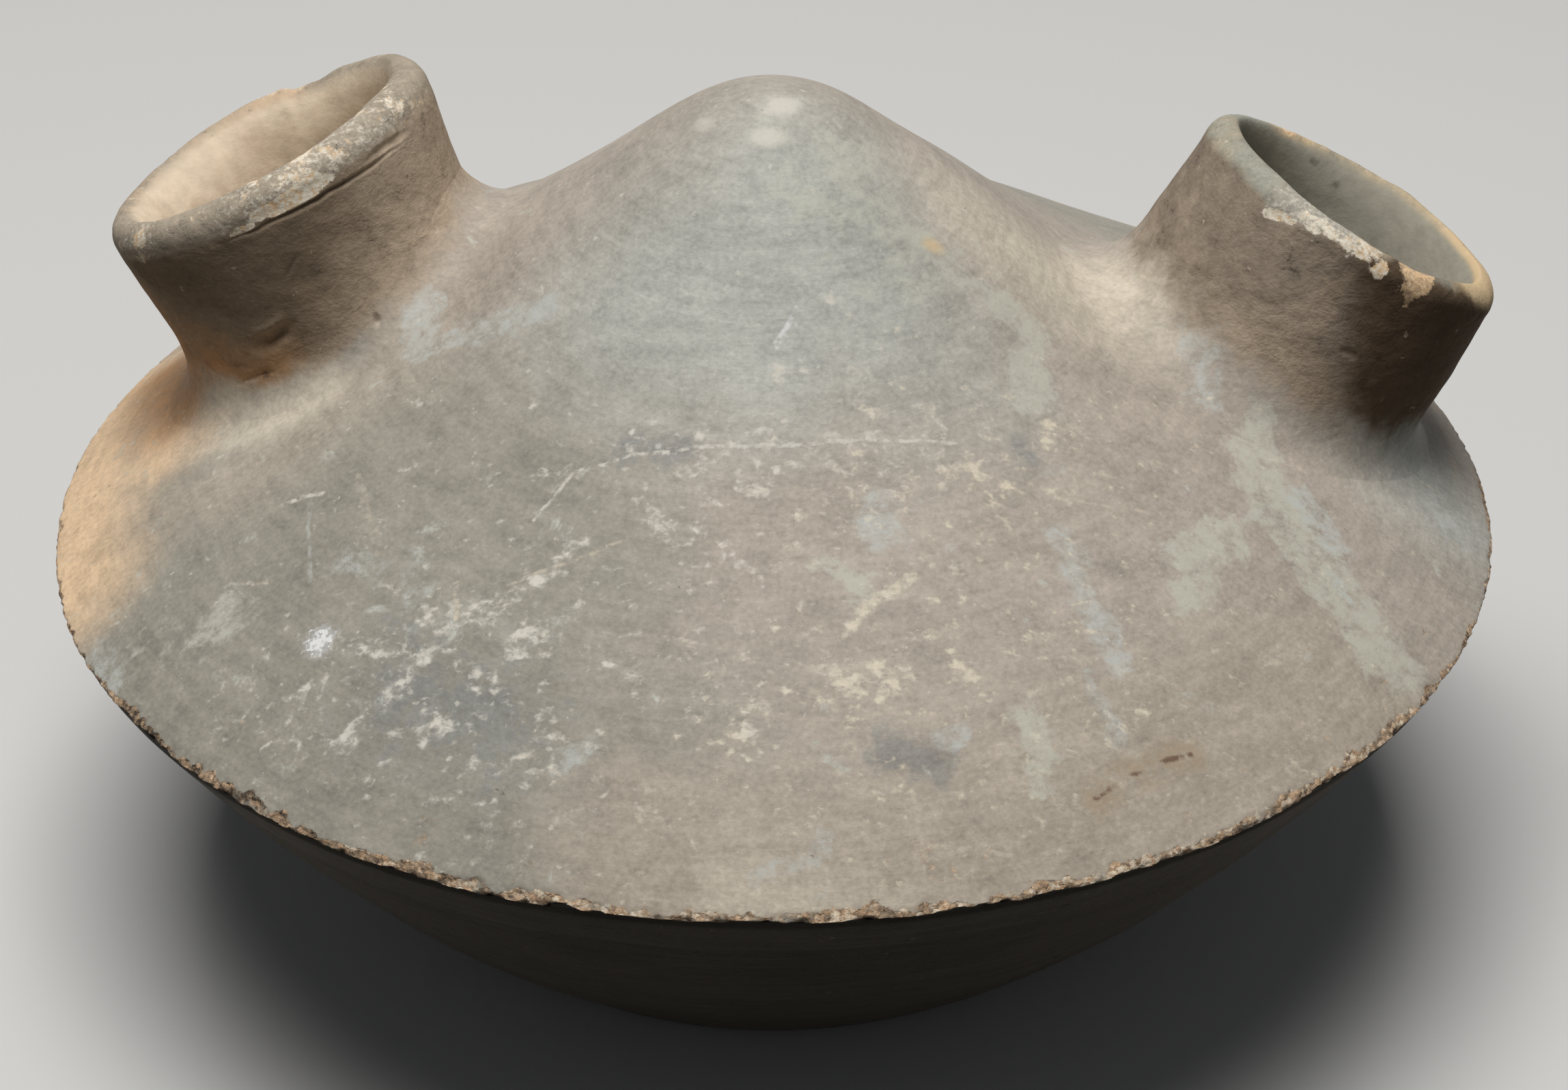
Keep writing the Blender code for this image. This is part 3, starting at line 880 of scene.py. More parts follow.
TRAILS: dict[Mark, tuple[Trail, ...]] = {
    Mark.COOL: (
        Trail(((-14, -26), (10, -24)), 24.0),
        Trail(((2, -16), (0, -30)), 20.0),
        # Painted shade: greys the shoulder under the right neck to the cool cast of the shade there.
        Trail(((86, -4), (92, -16)), 14.0, 0.9),
    ),
    Mark.OLIVE: (
        Trail(((-90, -20), (-62, -60), (-30, -88)), 34.0, 1.2),
        Trail(((-64, -30), (-30, -56)), 26.0),
        Trail(((-14, -2), (-2, 6)), 14.0, 0.22),
        Trail(((16.0, 46.0), (58.0, 44.0)), 22.0, 0.55),
        Trail(((-50.0, 72.0), (-20.0, 90.0)), 18.0, 0.5),
    ),
    Mark.TAN: (
        Trail(((-10, -96), (36, -90), (72, -64)), 22.0),
        Trail(((-52, -16), (-72, -22)), 14.0, 0.7),
        Trail(((-20.0, 40.0), (4.0, 62.0)), 20.0, 0.7),
    ),
    Mark.FIRE: (
        Trail(((-98, 30), (-101, 0), (-97, -26)), 20.0, 1.2),
        Trail(((-90, 26), (-87, 6), (-85, -8)), 12.0, 0.85),
        Trail(((-86, 2), (-80, -8)), 8.0, 0.62),
    ),
    # Painted shade: the left neck's shadow falling on the orange fire-cloud, laid as darker orange-brown.
    Mark.NECK_SHADOW_ORANGE: (
        Trail(((-88, 26), (-86, 14), (-83, 4)), 9.5, 1.15),
    ),
    Mark.GREEN: (
        # Painted light: this broad weak trail lightens the shoulder right of the peak, which faces away from
        # the lamp; the other green trails are stains.
        Trail(((8, -13), (19, -18)), 9.0, 0.36),
        Trail(((65.2, -19.7), (64.0, -26.1)), 2.4),
        Trail(((64.0, -26.1), (65.6, -34.7), (69.4, -39.9), (74.5, -46.2), (78.3, -51.3)), 5.5),
        Trail(((57.9, -41.9), (54.4, -47.0), (53.1, -54.6)), 4.2, 0.8),
        Trail(((28.4, -19.5), (33.3, -19.9), (34.0, -23.0)), 3.2, 0.9),
        Trail(((33.2, -27.5), (33.8, -32.0)), 3.4),
        Trail(((-76.5, -48.9), (-73.0, -49.2)), 5.0, 0.26),
        Trail(((6.3, -58.9), (10.1, -61.5)), 2.6, 0.6),
        Trail(((30.2, -76.4), (31.6, -82.4)), 3.0, 0.6),
        Trail(((36.0, 70.0), (44.0, 62.0)), 4.0, 0.7),
    ),
    Mark.BLUE: (
        Trail(((-53.9, -46.9), (-47.0, -52.5), (-40.9, -58.5)), 2.6, 0.28),
        Trail(((70.0, -30.5), (72.6, -35.2)), 3.2, 1.0),
        Trail(((73.0, -43.0), (74.0, -44.5)), 1.6, 1.0),
        Trail(((56.6, -9.3), (56.9, -13.4), (57.6, -18.7)), 2.8, 0.85),
        Trail(((12.7, -51.2), (13.0, -54.6)), 3.6, 0.62),
        Trail(((36.6, -52.0), (39.6, -60.7), (42.0, -66.3)), 2.8, 0.8),
        Trail(((38.4, -69.9), (41.4, -75.7)), 1.7, 0.8),
        Trail(((-47.2, -8.0), (-47.0, -11.0), (-46.0, -14.6)), 3.6, 1.6),
        Trail(((-42.0, -16.0), (-35.9, -18.9), (-29.4, -20.2)), 2.6, 0.8),
        Trail(((-21.8, -79.6), (-25.9, -80.9)), 1.6, 0.9),
        Trail(((20.0, -80.0), (22.5, -79.2)), 1.8, 0.9),
        Trail(((-88.8, -42.8), (-85.5, -50.2)), 2.6, 0.5),
        Trail(((92.6, -20.1), (90.5, -15.8)), 3.0, 0.8),
        Trail(((-2.2, -95.3), (1.1, -94.2), (4.3, -93.7), (5.6, -92.1)), 1.6, 0.8),
    ),
    Mark.FLAKED: (
        Trail(((2.2, -25.5), (2.9, -25.7)), 0.9, 1.4),
        Trail(((6.6, -28.8), (7.6, -28.4)), 0.9, 1.4),
        Trail(((0.5, -36.5), (9.0, -36.2)), 2.2, 0.9),
        Trail(((-53.5, -60.9), (-47.0, -62.0)), 3.2, 0.9),
        Trail(((-42.2, -59.2), (-36.8, -59.9), (-32.0, -65.0)), 3.6, 1.25),
        Trail(((-33.3, -60.5), (-28.9, -57.3), (-23.8, -54.2)), 2.4, 1.1),
        Trail(((-53.0, -72.2), (-48.4, -68.8), (-43.4, -64.2), (-36.0, -60.5)), 4.2, 1.0),
        Trail(((-60.4, -62.0), (-46.7, -71.0), (-32.2, -80.0)), 12.0, 0.45),
        Trail(((-14.0, -54.2), (-9.5, -54.5)), 2.6, 0.9),
        Trail(((-5.5, -58.2), (-1.1, -61.3)), 2.6, 0.9),
        Trail(((16.9, -60.9), (11.7, -64.3), (9.5, -67.3)), 1.9, 1.3),
        Trail(((6.5, -73.1), (15.4, -73.4)), 4.4, 1.10),
        Trail(((20.0, -68.0), (24.0, -72.0)), 3.0, 0.8),
        Trail(((-22.9, -67.2), (-21.2, -69.7), (-16.1, -72.5)), 2.2, 0.9),
        Trail(((-6.0, -76.3), (-1.0, -77.5), (-4.5, -80.0)), 3.0, 1.0),
        Trail(((-4.4, -44.7), (5.9, -45.2), (20.4, -41.7)), 3.6, 0.75),
        Trail(((20.8, -39.1), (21.8, -45.8)), 3.2, 0.95),
        Trail(((34.2, -37.4), (39.9, -34.0)), 3.6, 0.85),
        Trail(((33.2, -55.4), (34.6, -57.5)), 1.8, 1.0),
        Trail(((41.0, -66.0), (43.0, -68.0)), 2.0, 1.0),
        Trail(((-30.0, -72.0), (36.0, -60.0)), 30.0, 0.27),
        Trail(((-44.0, 58.0), (-6.0, 76.0), (30.0, 64.0)), 24.0, 0.16),
        Trail(((-10.0, -48.0), (28.0, -44.0)), 13.0, 0.50),
        Trail(((-22.0, 66.0), (-12.0, 70.0)), 4.0, 0.8),
    ),
    Mark.DUSK: (
        Trail(((-18.0, -43.0), (-11.0, -44.4)), 2.8, 0.7),
        Trail(((31.9, -40.1), (32.5, -42.0)), 3.0, 0.7),
        Trail(((14.0, -82.0), (19.0, -82.6)), 4.0, 1.2),
        Trail(((-46.0, -68.0), (-34.0, -74.0)), 11.0, 0.75),
    ),
    Mark.PALE: (
        Trail(((30, -8), (44, -6)), 16.0),
        Trail(((-6, -98), (12, -99)), 7.0, 0.7),
        # Painted light: lightens the shoulder at the left neck's foot, where the neck's shadow falls.
        Trail(((-79, -5), (-72, -11), (-63, -14)), 7.0, 0.95),
    ),
}


def read_marks(points: np.ndarray) -> dict[str, np.ndarray]:
    """Return the strongest amount of each mark at each point of a piece."""
    x = points[..., 0] / MM
    y = points[..., 1] / MM
    marks = {}
    for mark, trails in TRAILS.items():
        strongest = np.full(x.shape, -1.0)
        for trail in trails:
            strongest = np.maximum(strongest, trail.amount(x, y))
        marks[mark.value] = strongest
    return marks


@dataclass(frozen=True)
class Scratch:
    """A thin line scored in the shoulder, seen from above, in millimetres."""

    line: tuple[Spot, ...]
    width: float
    colour: Colour
    strength: float


PALE_GREEN: Colour = (0.615, 0.610, 0.515)
PALE_BLUE: Colour = (0.590, 0.612, 0.580)
CREAM: Colour = (0.720, 0.630, 0.500)
GRIT: Colour = (0.760, 0.720, 0.640)
STRAW: Colour = (0.800, 0.715, 0.560)
CHALK: Colour = (0.900, 0.905, 0.900)
OCHRE: Colour = (0.760, 0.580, 0.350)

SHOULDER_SHINE = 0.2
ROOT_SHINE = 0.15
SPOUT_SHINE = 0.11
EDGE_SHINE = 0.08
BOWL_SHINE = 0.06

SCRATCHES = (
    Scratch(((17.2, -60.6), (14.4, -62.3), (11.7, -64.3), (9.5, -67.3)), 1.00, STRAW, 0.75),
    Scratch(((-64.0, -33.1), (-61.4, -33.0), (-58.6, -34.1)), 0.55, GRIT, 0.9),
    Scratch(((-60.3, -34.7), (-59.2, -48.1)), 0.40, PALE_BLUE, 0.55),
    Scratch(((-70.3, -42.9), (-64.7, -45.9)), 0.32, CREAM, 0.5),
    Scratch(((-39.6, -55.5), (-39.4, -60.5)), 0.50, CREAM, 0.9),
    Scratch(((-54.3, -33.7), (-50.0, -48.0)), 0.90, CREAM, 0.30),
    Scratch(((-30.2, -49.6), (-25.1, -44.6), (-18.2, -44.1), (2.5, -45.2), (23.3, -41.9)), 0.36, GRIT, 0.85),
    Scratch(((-33.0, -57.6), (-19.0, -55.0)), 0.35, CREAM, 0.6),
    Scratch(((18.0, -91.6), (28.5, -91.7)), 0.45, CREAM, 0.5),
    Scratch(((16.2, -85.8), (17.3, -90.8), (17.5, -95.2)), 0.50, CREAM, 0.45),
    Scratch(((3.1, -29.8), (0.6, -33.8)), 0.55, CHALK, 0.70),
    Scratch(((38.6, -45.2), (45.4, -44.2), (49.8, -43.1)), 0.32, CREAM, 0.5),
)


@dataclass(frozen=True)
class BurnishedClay:
    """The shoulder's low burnish: grey and taupe clouds, specks, pits, stains and scratches."""

    taupe: Colour = (0.478, 0.420, 0.356)
    grey: Colour = (0.512, 0.516, 0.470)
    olive: Colour = (0.362, 0.337, 0.283)
    tan: Colour = (0.485, 0.424, 0.347)
    fire: Colour = (0.880, 0.640, 0.415)
    # Partly painted light: one of its trails lightens the shoulder in the left neck's shadow.
    pale: Colour = (0.660, 0.590, 0.480)
    # Painted shade: darker orange-brown for the left neck's shadow on the fire-cloud.
    neck_shadow_orange: Colour = (0.530, 0.290, 0.130)
    dusk: Colour = (0.235, 0.245, 0.242)
    # Partly painted shade: the root tint and the sooty colour darken the shoulder round each neck's foot,
    # most beside the neck's shaded side.
    root: Colour = (0.360, 0.295, 0.228)
    soot_and_shade: Colour = (0.235, 0.186, 0.136)
    pit: Colour = (0.110, 0.092, 0.075)
    stain: Colour = (0.400, 0.300, 0.190)
    crack: Colour = (0.120, 0.050, 0.030)
    chalk_bed: Colour = (0.62, 0.63, 0.64)

    def coat(self, tree: ShaderTree) -> Coat:
        """Lay the burnished clay down and return its coat."""
        drift = tree.cloud(0.034, 4.0, 0.55, (0.1, 0.2, 0.3))
        patch = tree.cloud(0.0095, 5.0, 0.64, (1.0, 2.0, 0.5))
        fine = tree.cloud(0.0026, 4.0, 0.70, (0.4, 0.1, 0.9))
        grain = tree.cloud(0.0007, 2.0, 0.6, (0.2, 0.5, 0.1))
        level = tree.cloud(0.0009, 3.0, 0.65, (0.2, 0.7, 0.3), (10.0, 10.0, 1.0))
        sway = (drift - 0.5) * 1.6
        # The cool mark is the clay's grey, and under the right neck it is also the painted cool cast of the
        # shade.
        colour = tree.mix(self.taupe, self.grey, (tree.mark("cool") + sway * 0.6).step(-0.35, 0.90))
        colour = tree.mix(colour, self.olive, (tree.mark("olive") + sway).step(-0.20, 0.70))
        colour = tree.mix(colour, self.tan, (tree.mark("tan") - sway).step(-0.10, 0.80))
        # Partly painted light: one pale trail lightens the left neck's shadow.
        colour = tree.mix(colour, self.pale, (tree.mark("pale") + sway * 0.5).step(-0.10, 0.90))
        glow = tree.mark("fire") + (patch - 0.5) * 0.5 + sway * 0.25
        colour = tree.mix(colour, self.fire, glow.step(0.0, 1.0))
        # Painted shade: the left neck's shadow on the fire-cloud, as darker orange-brown.
        colour = tree.mix(colour, self.neck_shadow_orange, (tree.mark("neck_shadow_orange") + (patch - 0.5) * 0.7).step(-0.1, 1.1) * 0.9)
        smudge = (tree.mark("dusk") + (fine - 0.5) * 2.4 + (patch - 0.5) * 1.6).step(0.12, 0.78)
        colour = tree.mix(colour, self.dusk, smudge * 0.60)
        # Partly painted shade: the root tint and sooty darkening round each neck's foot, most beside the
        # neck's shaded side.
        near = tree.mark("near") + (patch - 0.5) * 0.7
        colour = tree.mix(colour, self.root, near.step(0.15, 1.0) * 0.8)
        colour = tree.mix(colour, self.soot_and_shade, (tree.mark("soot_and_shade") + (patch - 0.5) * 0.6).step(0.15, 0.85) * 0.9)
        shade = drift * 0.30 + patch * 0.56 + fine * 0.56 + grain * 0.55 + level * 0.50
        colour = tree.shade(colour, shade - 0.235)
        colour = self.stained(tree, colour, patch, fine)
        colour = self.scored(tree, colour, fine)
        pale = tree.dots(0.0019, 0.50, 0.18, (0.3, 0.3, 0.3), soft=0.14)
        colour = tree.mix(colour, GRIT, pale * 0.60)
        pits = tree.dots(0.0036, 0.28, 0.11, (0.9, 0.2, 0.6), (1.5, 1.5, 1.0), 0.10)
        colour = tree.mix(colour, self.pit, pits * 0.6)
        relief = grain * 0.06 + fine * 0.07 + level * 0.05 + patch * 0.06 - 0.12
        return Coat(colour, patch * 0.20 + fine * 0.14 + 0.42, relief - pits * 0.08 + pale * 0.02)

    def stained(self, tree: ShaderTree, colour: Val, patch: Val, fine: Val) -> Val:
        """Lay stains and flaked patches over a colour.

        Args:
            tree: The nodes.
            colour: The colour below.
            patch: Noise of the size of a patch.
            fine: Noise of the size of a flake.

        Returns:
            The colour with its marks.
        """
        ragged = tree.cloud(0.0050, 5.0, 0.66, (0.7, 0.3, 0.8), bend=0.5)
        crumbs = tree.cloud(0.0013, 4.0, 0.75, (0.1, 0.9, 0.2), (1.2, 1.0, 1.0), 0.3)
        mottle = fine * 0.5 + patch * 0.3 + crumbs * 0.6
        # Green stains, and one broad weak patch of painted light right of the peak.
        green = (tree.mark("green") + (ragged - 0.5) * 2.4).step(0.02, 0.34) * mottle.step(0.50, 0.80)
        colour = tree.mix(colour, PALE_GREEN, green * 0.82)
        blue = (tree.mark("blue") + (ragged - 0.5) * 2.8).step(0.02, 0.50) * mottle.step(0.54, 0.84)
        colour = tree.mix(colour, PALE_BLUE, blue * 0.80)
        clumps = tree.cloud(0.0044, 3.0, 0.6, (0.6, 0.4, 0.7), (1.15, 1.0, 1.0), 0.4)
        flaked = tree.mark("flaked").high(-0.4)
        blobs = tree.cloud(0.0015, 2.5, 0.58, (0.4, 0.8, 0.2), (1.25, 1.0, 1.0), 0.2)
        dust = blobs * 0.75 + crumbs * 0.35 + clumps * 0.55 + flaked * 0.20
        chance = (flaked * 0.42 + (clumps - 0.5) * 1.4 + 0.09).high(0.001)
        specks = tree.dots(0.0012, chance, 0.42, (0.8, 0.1, 0.5), (1.2, 1.0, 1.0), 0.28)
        haze = (flaked + (crumbs - 0.5) * 2.0 + (clumps - 0.5) * 2.0).step(0.45, 1.50)
        dusted = dust.step(0.925, 1.150) * (crumbs.step(0.32, 0.62) * 0.45 + 0.60)
        shown = dusted.high(specks * 0.62).high(haze * 0.35)
        frontward = tree.vector("DOT_PRODUCT", tree.place, (0.6, -0.4, 0.0), "Value")
        warm = (frontward + (clumps - 0.5) * 0.06).step(0.014, 0.045)
        colour = tree.mix(colour, tree.mix(GRIT, STRAW, warm), shown)
        spot = tree.blob((-0.0572, -0.0577, 0.0698), (0.0037, 0.0037, 0.0037), crumbs, 1.3, 0.9)
        flecks = tree.cloud(0.0008, 2.0, 0.6, (0.9, 0.7, 0.1))
        colour = tree.mix(colour, self.chalk_bed, spot.step(0.10, 0.80) * 0.55)
        colour = tree.mix(colour, CHALK, (spot * 0.50 + flecks).step(0.78, 0.98))
        cap = tree.blob((0.0016, -0.0043, 0.1183), (0.0040, 0.0034, 0.0034), fine, 1.6, 0.7)
        cap = cap.high(tree.blob((-0.0004, -0.0098, 0.1164), (0.0032, 0.0018, 0.0022), fine, 1.8, 0.7) * 0.9)
        cap = cap.high(tree.blob((-0.0087, -0.0051, 0.1163), (0.0026, 0.0020, 0.0022), fine, 1.8, 0.7) * 0.6)
        colour = tree.mix(colour, GRIT, cap * 0.75)
        halo = tree.blob((0.0198, -0.0168, 0.1050), (0.0046, 0.0026, 0.0026), fine, 1.6, 0.9)
        colour = tree.mix(colour, PALE_GREEN, halo * 0.7)
        ochre = tree.blob((0.0214, -0.0167, 0.1040), (0.0027, 0.0020, 0.0020), fine, 0.8, 0.9)
        return tree.mix(colour, OCHRE, ochre * 0.85)

    def scored(self, tree: ShaderTree, colour: Val, fine: Val) -> Val:
        """Score the scratches and the short crack in a colour.

        Args:
            tree: The nodes.
            colour: The colour below.
            fine: Noise that breaks a scratch up.

        Returns:
            The colour with its scratches.
        """
        sway = tree.node("ShaderNodeTexNoise", None, {"Vector": tree.place, "Scale": 220.0, "Detail": 2.0}, 1)
        moved = tree.scale(sway, 0.0014)
        offset = tree.vector("ADD", tree.place, tree.vector("SUBTRACT", moved, (0.0007, 0.0007, 0.0007)))
        flat = tree.vector("MULTIPLY", offset, (1.0, 1.0, 0.0))
        broken = tree.cloud(0.0013, 3.0, 0.65, (0.5, 0.2, 0.7)).step(0.38, 0.62)
        for scratch in SCRATCHES:
            mask = tree.line(flat, scratch.line).step(MM * scratch.width, MM * scratch.width * 0.3)
            colour = tree.mix(colour, scratch.colour, mask * broken * scratch.strength)
        crack = tree.line(flat, ((50.7, -75.7), (48.0, -77.0), (45.2, -79.3), (43.1, -80.0), (38.4, -83.9)))
        colour = tree.mix(colour, self.stain, crack.step(0.0032, 0.0004) * fine.step(0.34, 0.56) * 0.60)
        return tree.mix(colour, self.crack, crack.step(0.00045, 0.0001) * fine.step(0.44, 0.60) * 0.75)


@dataclass(frozen=True)
class WipedClay:
    """The bowl's dull clay, wiped in level streaks."""

    # Partly the clay's own dark tone and partly painted shade, for the bowl under the body's edge.
    dark: Colour = (0.085, 0.075, 0.061)
    light: Colour = (0.150, 0.130, 0.104)
    speck: Colour = (0.46, 0.39, 0.30)
    pit: Colour = (0.05, 0.042, 0.035)

    def coat(self, tree: ShaderTree) -> Coat:
        """Lay the wiped clay down and return its coat."""
        drift = tree.cloud(0.026, 4.0, 0.6, (0.6, 0.6, 0.1))
        wipe = tree.cloud(0.0016, 4.0, 0.6, (0.5, 0.2, 0.9), (14.0, 14.0, 1.0))
        fine = tree.cloud(0.0026, 4.0, 0.68, (0.9, 0.4, 0.2))
        grain = tree.cloud(0.0008, 2.0, 0.6, (0.2, 0.5, 0.1))
        colour = tree.mix(self.dark, self.light, (drift * 0.9 + wipe * 0.7 - 0.30).step(0.2, 0.8))
        colour = tree.shade(colour, fine * 0.6 + grain * 0.4 + 0.5)
        pale = tree.dots(0.0034, 0.40, 0.15, (0.2, 0.8, 0.1))
        colour = tree.mix(colour, self.speck, pale * 0.7)
        pits = tree.dots(0.0050, 0.40, 0.14, (0.5, 0.1, 0.7), (1.8, 1.8, 1.0))
        colour = tree.mix(colour, self.pit, pits * 0.8)
        return Coat(colour, fine * 0.2 + 0.62, wipe * 0.12 + grain * 0.06 + fine * 0.10 - pits * 0.2 - 0.14)


@dataclass(frozen=True)
class BrokenClay:
    """Crumbled clay at a worn edge: ochre and cream grains, and dark pits."""

    core: Colour
    ochre: Colour
    cream: Colour
    pit: Colour
    pitted: float
    grain: float
    relief: float
    variety: float

    def coat(self, tree: ShaderTree) -> Coat:
        """Lay the crumbled clay down and return its coat."""
        drift = tree.cloud(0.0060, 4.0, 0.65, (0.1, 0.5, 0.4))
        crumbs = tree.cloud(0.0007, 3.0, 0.7, (0.8, 0.1, 0.3))
        luck, distance = tree.cells(self.grain, (0.3, 0.6, 0.9))
        kind = (luck - 0.5) * self.variety + (drift - 0.5) * 1.1 + tree.mark("favour") * 0.7 + 0.15
        kind = kind + (crumbs - 0.5) * 1.4
        colour = tree.mix(self.pit, self.core, kind.step(0.00, 0.30))
        colour = tree.mix(colour, self.ochre, kind.step(0.30, 0.65))
        colour = tree.mix(colour, self.cream, kind.step(0.60, 1.00))
        colour = tree.shade(colour, crumbs * 0.9 + 0.55)
        gaps = (distance + (crumbs - 0.5) * 0.7).step(0.44, 0.80)
        colour = tree.mix(colour, self.pit, gaps * self.pitted)
        relief = (crumbs - 0.5) * 0.20 * self.relief - gaps * self.pitted * 0.25
        return Coat(colour, crumbs * 0.1 + 0.85, relief)


EDGE_BREAK = BrokenClay(
    core=(0.380, 0.285, 0.200), ochre=(0.690, 0.460, 0.285), cream=(0.890, 0.765, 0.590),
    pit=(0.110, 0.080, 0.058), pitted=0.30, grain=0.0007, relief=0.80, variety=0.7)
LIP_BREAK = BrokenClay(
    core=(0.700, 0.500, 0.320), ochre=(0.930, 0.650, 0.385), cream=(0.950, 0.870, 0.720),
    pit=(0.400, 0.290, 0.195), pitted=0.03, grain=0.0005, relief=0.60, variety=0.20)


@dataclass(frozen=True)
class SpoutClay:
    """A spout's rough brown clay, its lip and its bore."""

    brown: Colour
    # Partly smoky clay and partly painted shade, laid on the side of the neck turned from the lamp.
    smoked_and_shaded: Colour
    # The clay's own orange on the left spout; painted bounce light from the shoulder on the right spout's low
    # front.
    warm: Colour
    # Partly the clay's own buff and grey: the left bore is paler as painted light, the right bore darker as
    # painted shade.
    bore: Colour
    bore_shade: Colour
    lip: Colour
    lip_dull: Colour
    lip_warm: Colour
    lip_bed: Colour
    smoke_angle: float
    smoke_span: float
    smoke_fade: float
    warm_angle: float
    warm_span: float
    hair_tilt: float
    hair: float
    coarse: float
    # Partly painted shade: how strongly the shoulder is darkened and tinted round the neck's foot.
    soot_and_shade: float
    tint: float
    root_fade: Spot
    holes: tuple[Place, ...] = ()
    hole_reach: Place = (0.0013, 0.0013, 0.0010)
    hole: Colour = (0.10, 0.08, 0.06)
    pit: Colour = (0.100, 0.072, 0.054)
    lip_grit: Colour = (0.860, 0.800, 0.690)
    lip_pit: Colour = (0.12, 0.095, 0.075)
    bore_pit: Colour = (0.14, 0.11, 0.085)

    def outside(self, tree: ShaderTree) -> Coat:
        """Lay a spout's outer clay down and return its coat."""
        drift = tree.cloud(0.012, 5.0, 0.62, (0.3, 0.8, 0.6))
        fine = tree.cloud(0.0024, 4.0, 0.72, (0.6, 0.2, 0.4))
        grain = tree.cloud(0.0007, 2.0, 0.6, (0.2, 0.5, 0.1))
        hair = tree.cloud(0.0007, 3.0, 0.68, (0.2, 0.4, 0.8), (5.0, 2.0, 1.0), 1.0, self.hair_tilt)
        blotch = tree.cloud(0.0044, 4.0, 0.68, (0.4, 0.7, 0.2), (1.5, 1.5, 0.8), 0.3)
        # Partly painted shade: darker on the neck's side turned from the lamp, and higher up under the lip's
        # overhang.
        smoke = tree.mark("smoke") + (drift - 0.5) * 1.2
        colour = tree.mix(self.brown, self.smoked_and_shaded, smoke.step(-0.05, 0.75))
        # Orange clay on the left neck, painted bounce light on the right neck's low front.
        colour = tree.mix(colour, self.warm, (tree.mark("warmth_and_bounce_light") + (drift - 0.5) * 1.0).step(0.0, 0.85))
        rough = (fine - 0.5) * self.coarse + (hair - 0.5) * self.hair
        mottle = rough * 0.8 + (blotch - 0.5) * self.coarse * 1.0
        colour = tree.shade(colour, mottle + grain * 0.4 + drift * 0.6 + 0.525)
        pale = tree.dots(0.0026, 0.45, 0.17, (0.7, 0.5, 0.1))
        colour = tree.mix(colour, CREAM, pale * 0.5)
        pits = (fine * 0.6 + blotch * 0.4).step(0.430, 0.300)
        colour = tree.mix(colour, self.pit, pits * 0.55)
        relief = rough * 0.18 + (blotch - 0.5) * 0.30 + (grain - 0.5) * 0.07 - pits * 0.05
        return Coat(colour, fine * 0.15 + 0.74, relief)

    def rim(self, tree: ShaderTree) -> Coat:
        """Lay the lip's gritty clay down and return its coat."""
        drift = tree.cloud(0.010, 4.0, 0.62, (0.3, 0.8, 0.6))
        fine = tree.cloud(0.0018, 4.0, 0.72, (0.5, 0.5, 0.9))
        grain = tree.cloud(0.0006, 2.0, 0.6, (0.3, 0.1, 0.1))
        colour = tree.mix(self.lip, self.lip_dull, drift.step(0.40, 0.62))
        bed = (tree.mark("gritty") + (drift - 0.5) * 0.8).step(0.35, 1.0)
        colour = tree.mix(colour, self.lip_bed, bed * 0.8)
        colour = tree.shade(colour, fine * 0.80 + grain * 0.5 + 0.35)
        rubbed = (tree.mark("rubbed") + (drift - 0.5) * 1.4 + (fine - 0.5) * 0.8).step(0.15, 0.95)
        colour = tree.mix(colour, self.lip_warm, rubbed * 0.85)
        gritty = tree.mark("gritty") + (drift - 0.5) * 1.6
        specks = tree.cloud(0.0007, 3.0, 0.65, (0.2, 0.9, 0.4))
        grit = (specks + gritty * 0.20).step(0.60, 0.92)
        colour = tree.mix(colour, self.lip_grit, grit * 0.85)
        pits = fine.step(0.35, 0.27)
        colour = tree.mix(colour, self.lip_pit, pits * 0.65)
        return Coat(colour, fine * 0.15 + 0.66, fine * 0.14 + grain * 0.10 + grit * 0.03 - pits * 0.06 - 0.12)

    def inside(self, tree: ShaderTree) -> Coat:
        """Lay the bore's smoothed clay down and return its coat."""
        drift = tree.cloud(0.011, 5.0, 0.6, (0.8, 0.8, 0.2))
        fine = tree.cloud(0.0024, 4.0, 0.65, (0.1, 0.4, 0.6))
        # Partly painted light in the left bore and painted shade in the right one, over the clay's own tone.
        colour = tree.mix(self.bore, self.bore_shade, drift.step(0.46, 0.72))
        rubbed = (tree.mark("rubbed") + (drift - 0.5) * 1.2).step(0.25, 1.0)
        colour = tree.mix(colour, self.lip_warm, rubbed * tree.mark("inside").step(1.0, 0.4) * 0.8)
        colour = tree.shade(colour, fine * 0.5 + 0.75)
        pits = tree.dots(0.0050, 0.40, 0.16, (0.4, 0.1, 0.2), (1.0, 1.0, 1.4))
        colour = tree.mix(colour, self.bore_pit, pits * 0.30)
        for hole in self.holes:
            spot = tree.blob(hole, self.hole_reach, fine, 1.8, 0.8)
            colour = tree.mix(colour, self.hole, spot * 0.75)
        return Coat(colour, fine * 0.1 + 0.78, (fine - 0.5) * 0.14 - pits * 0.06)


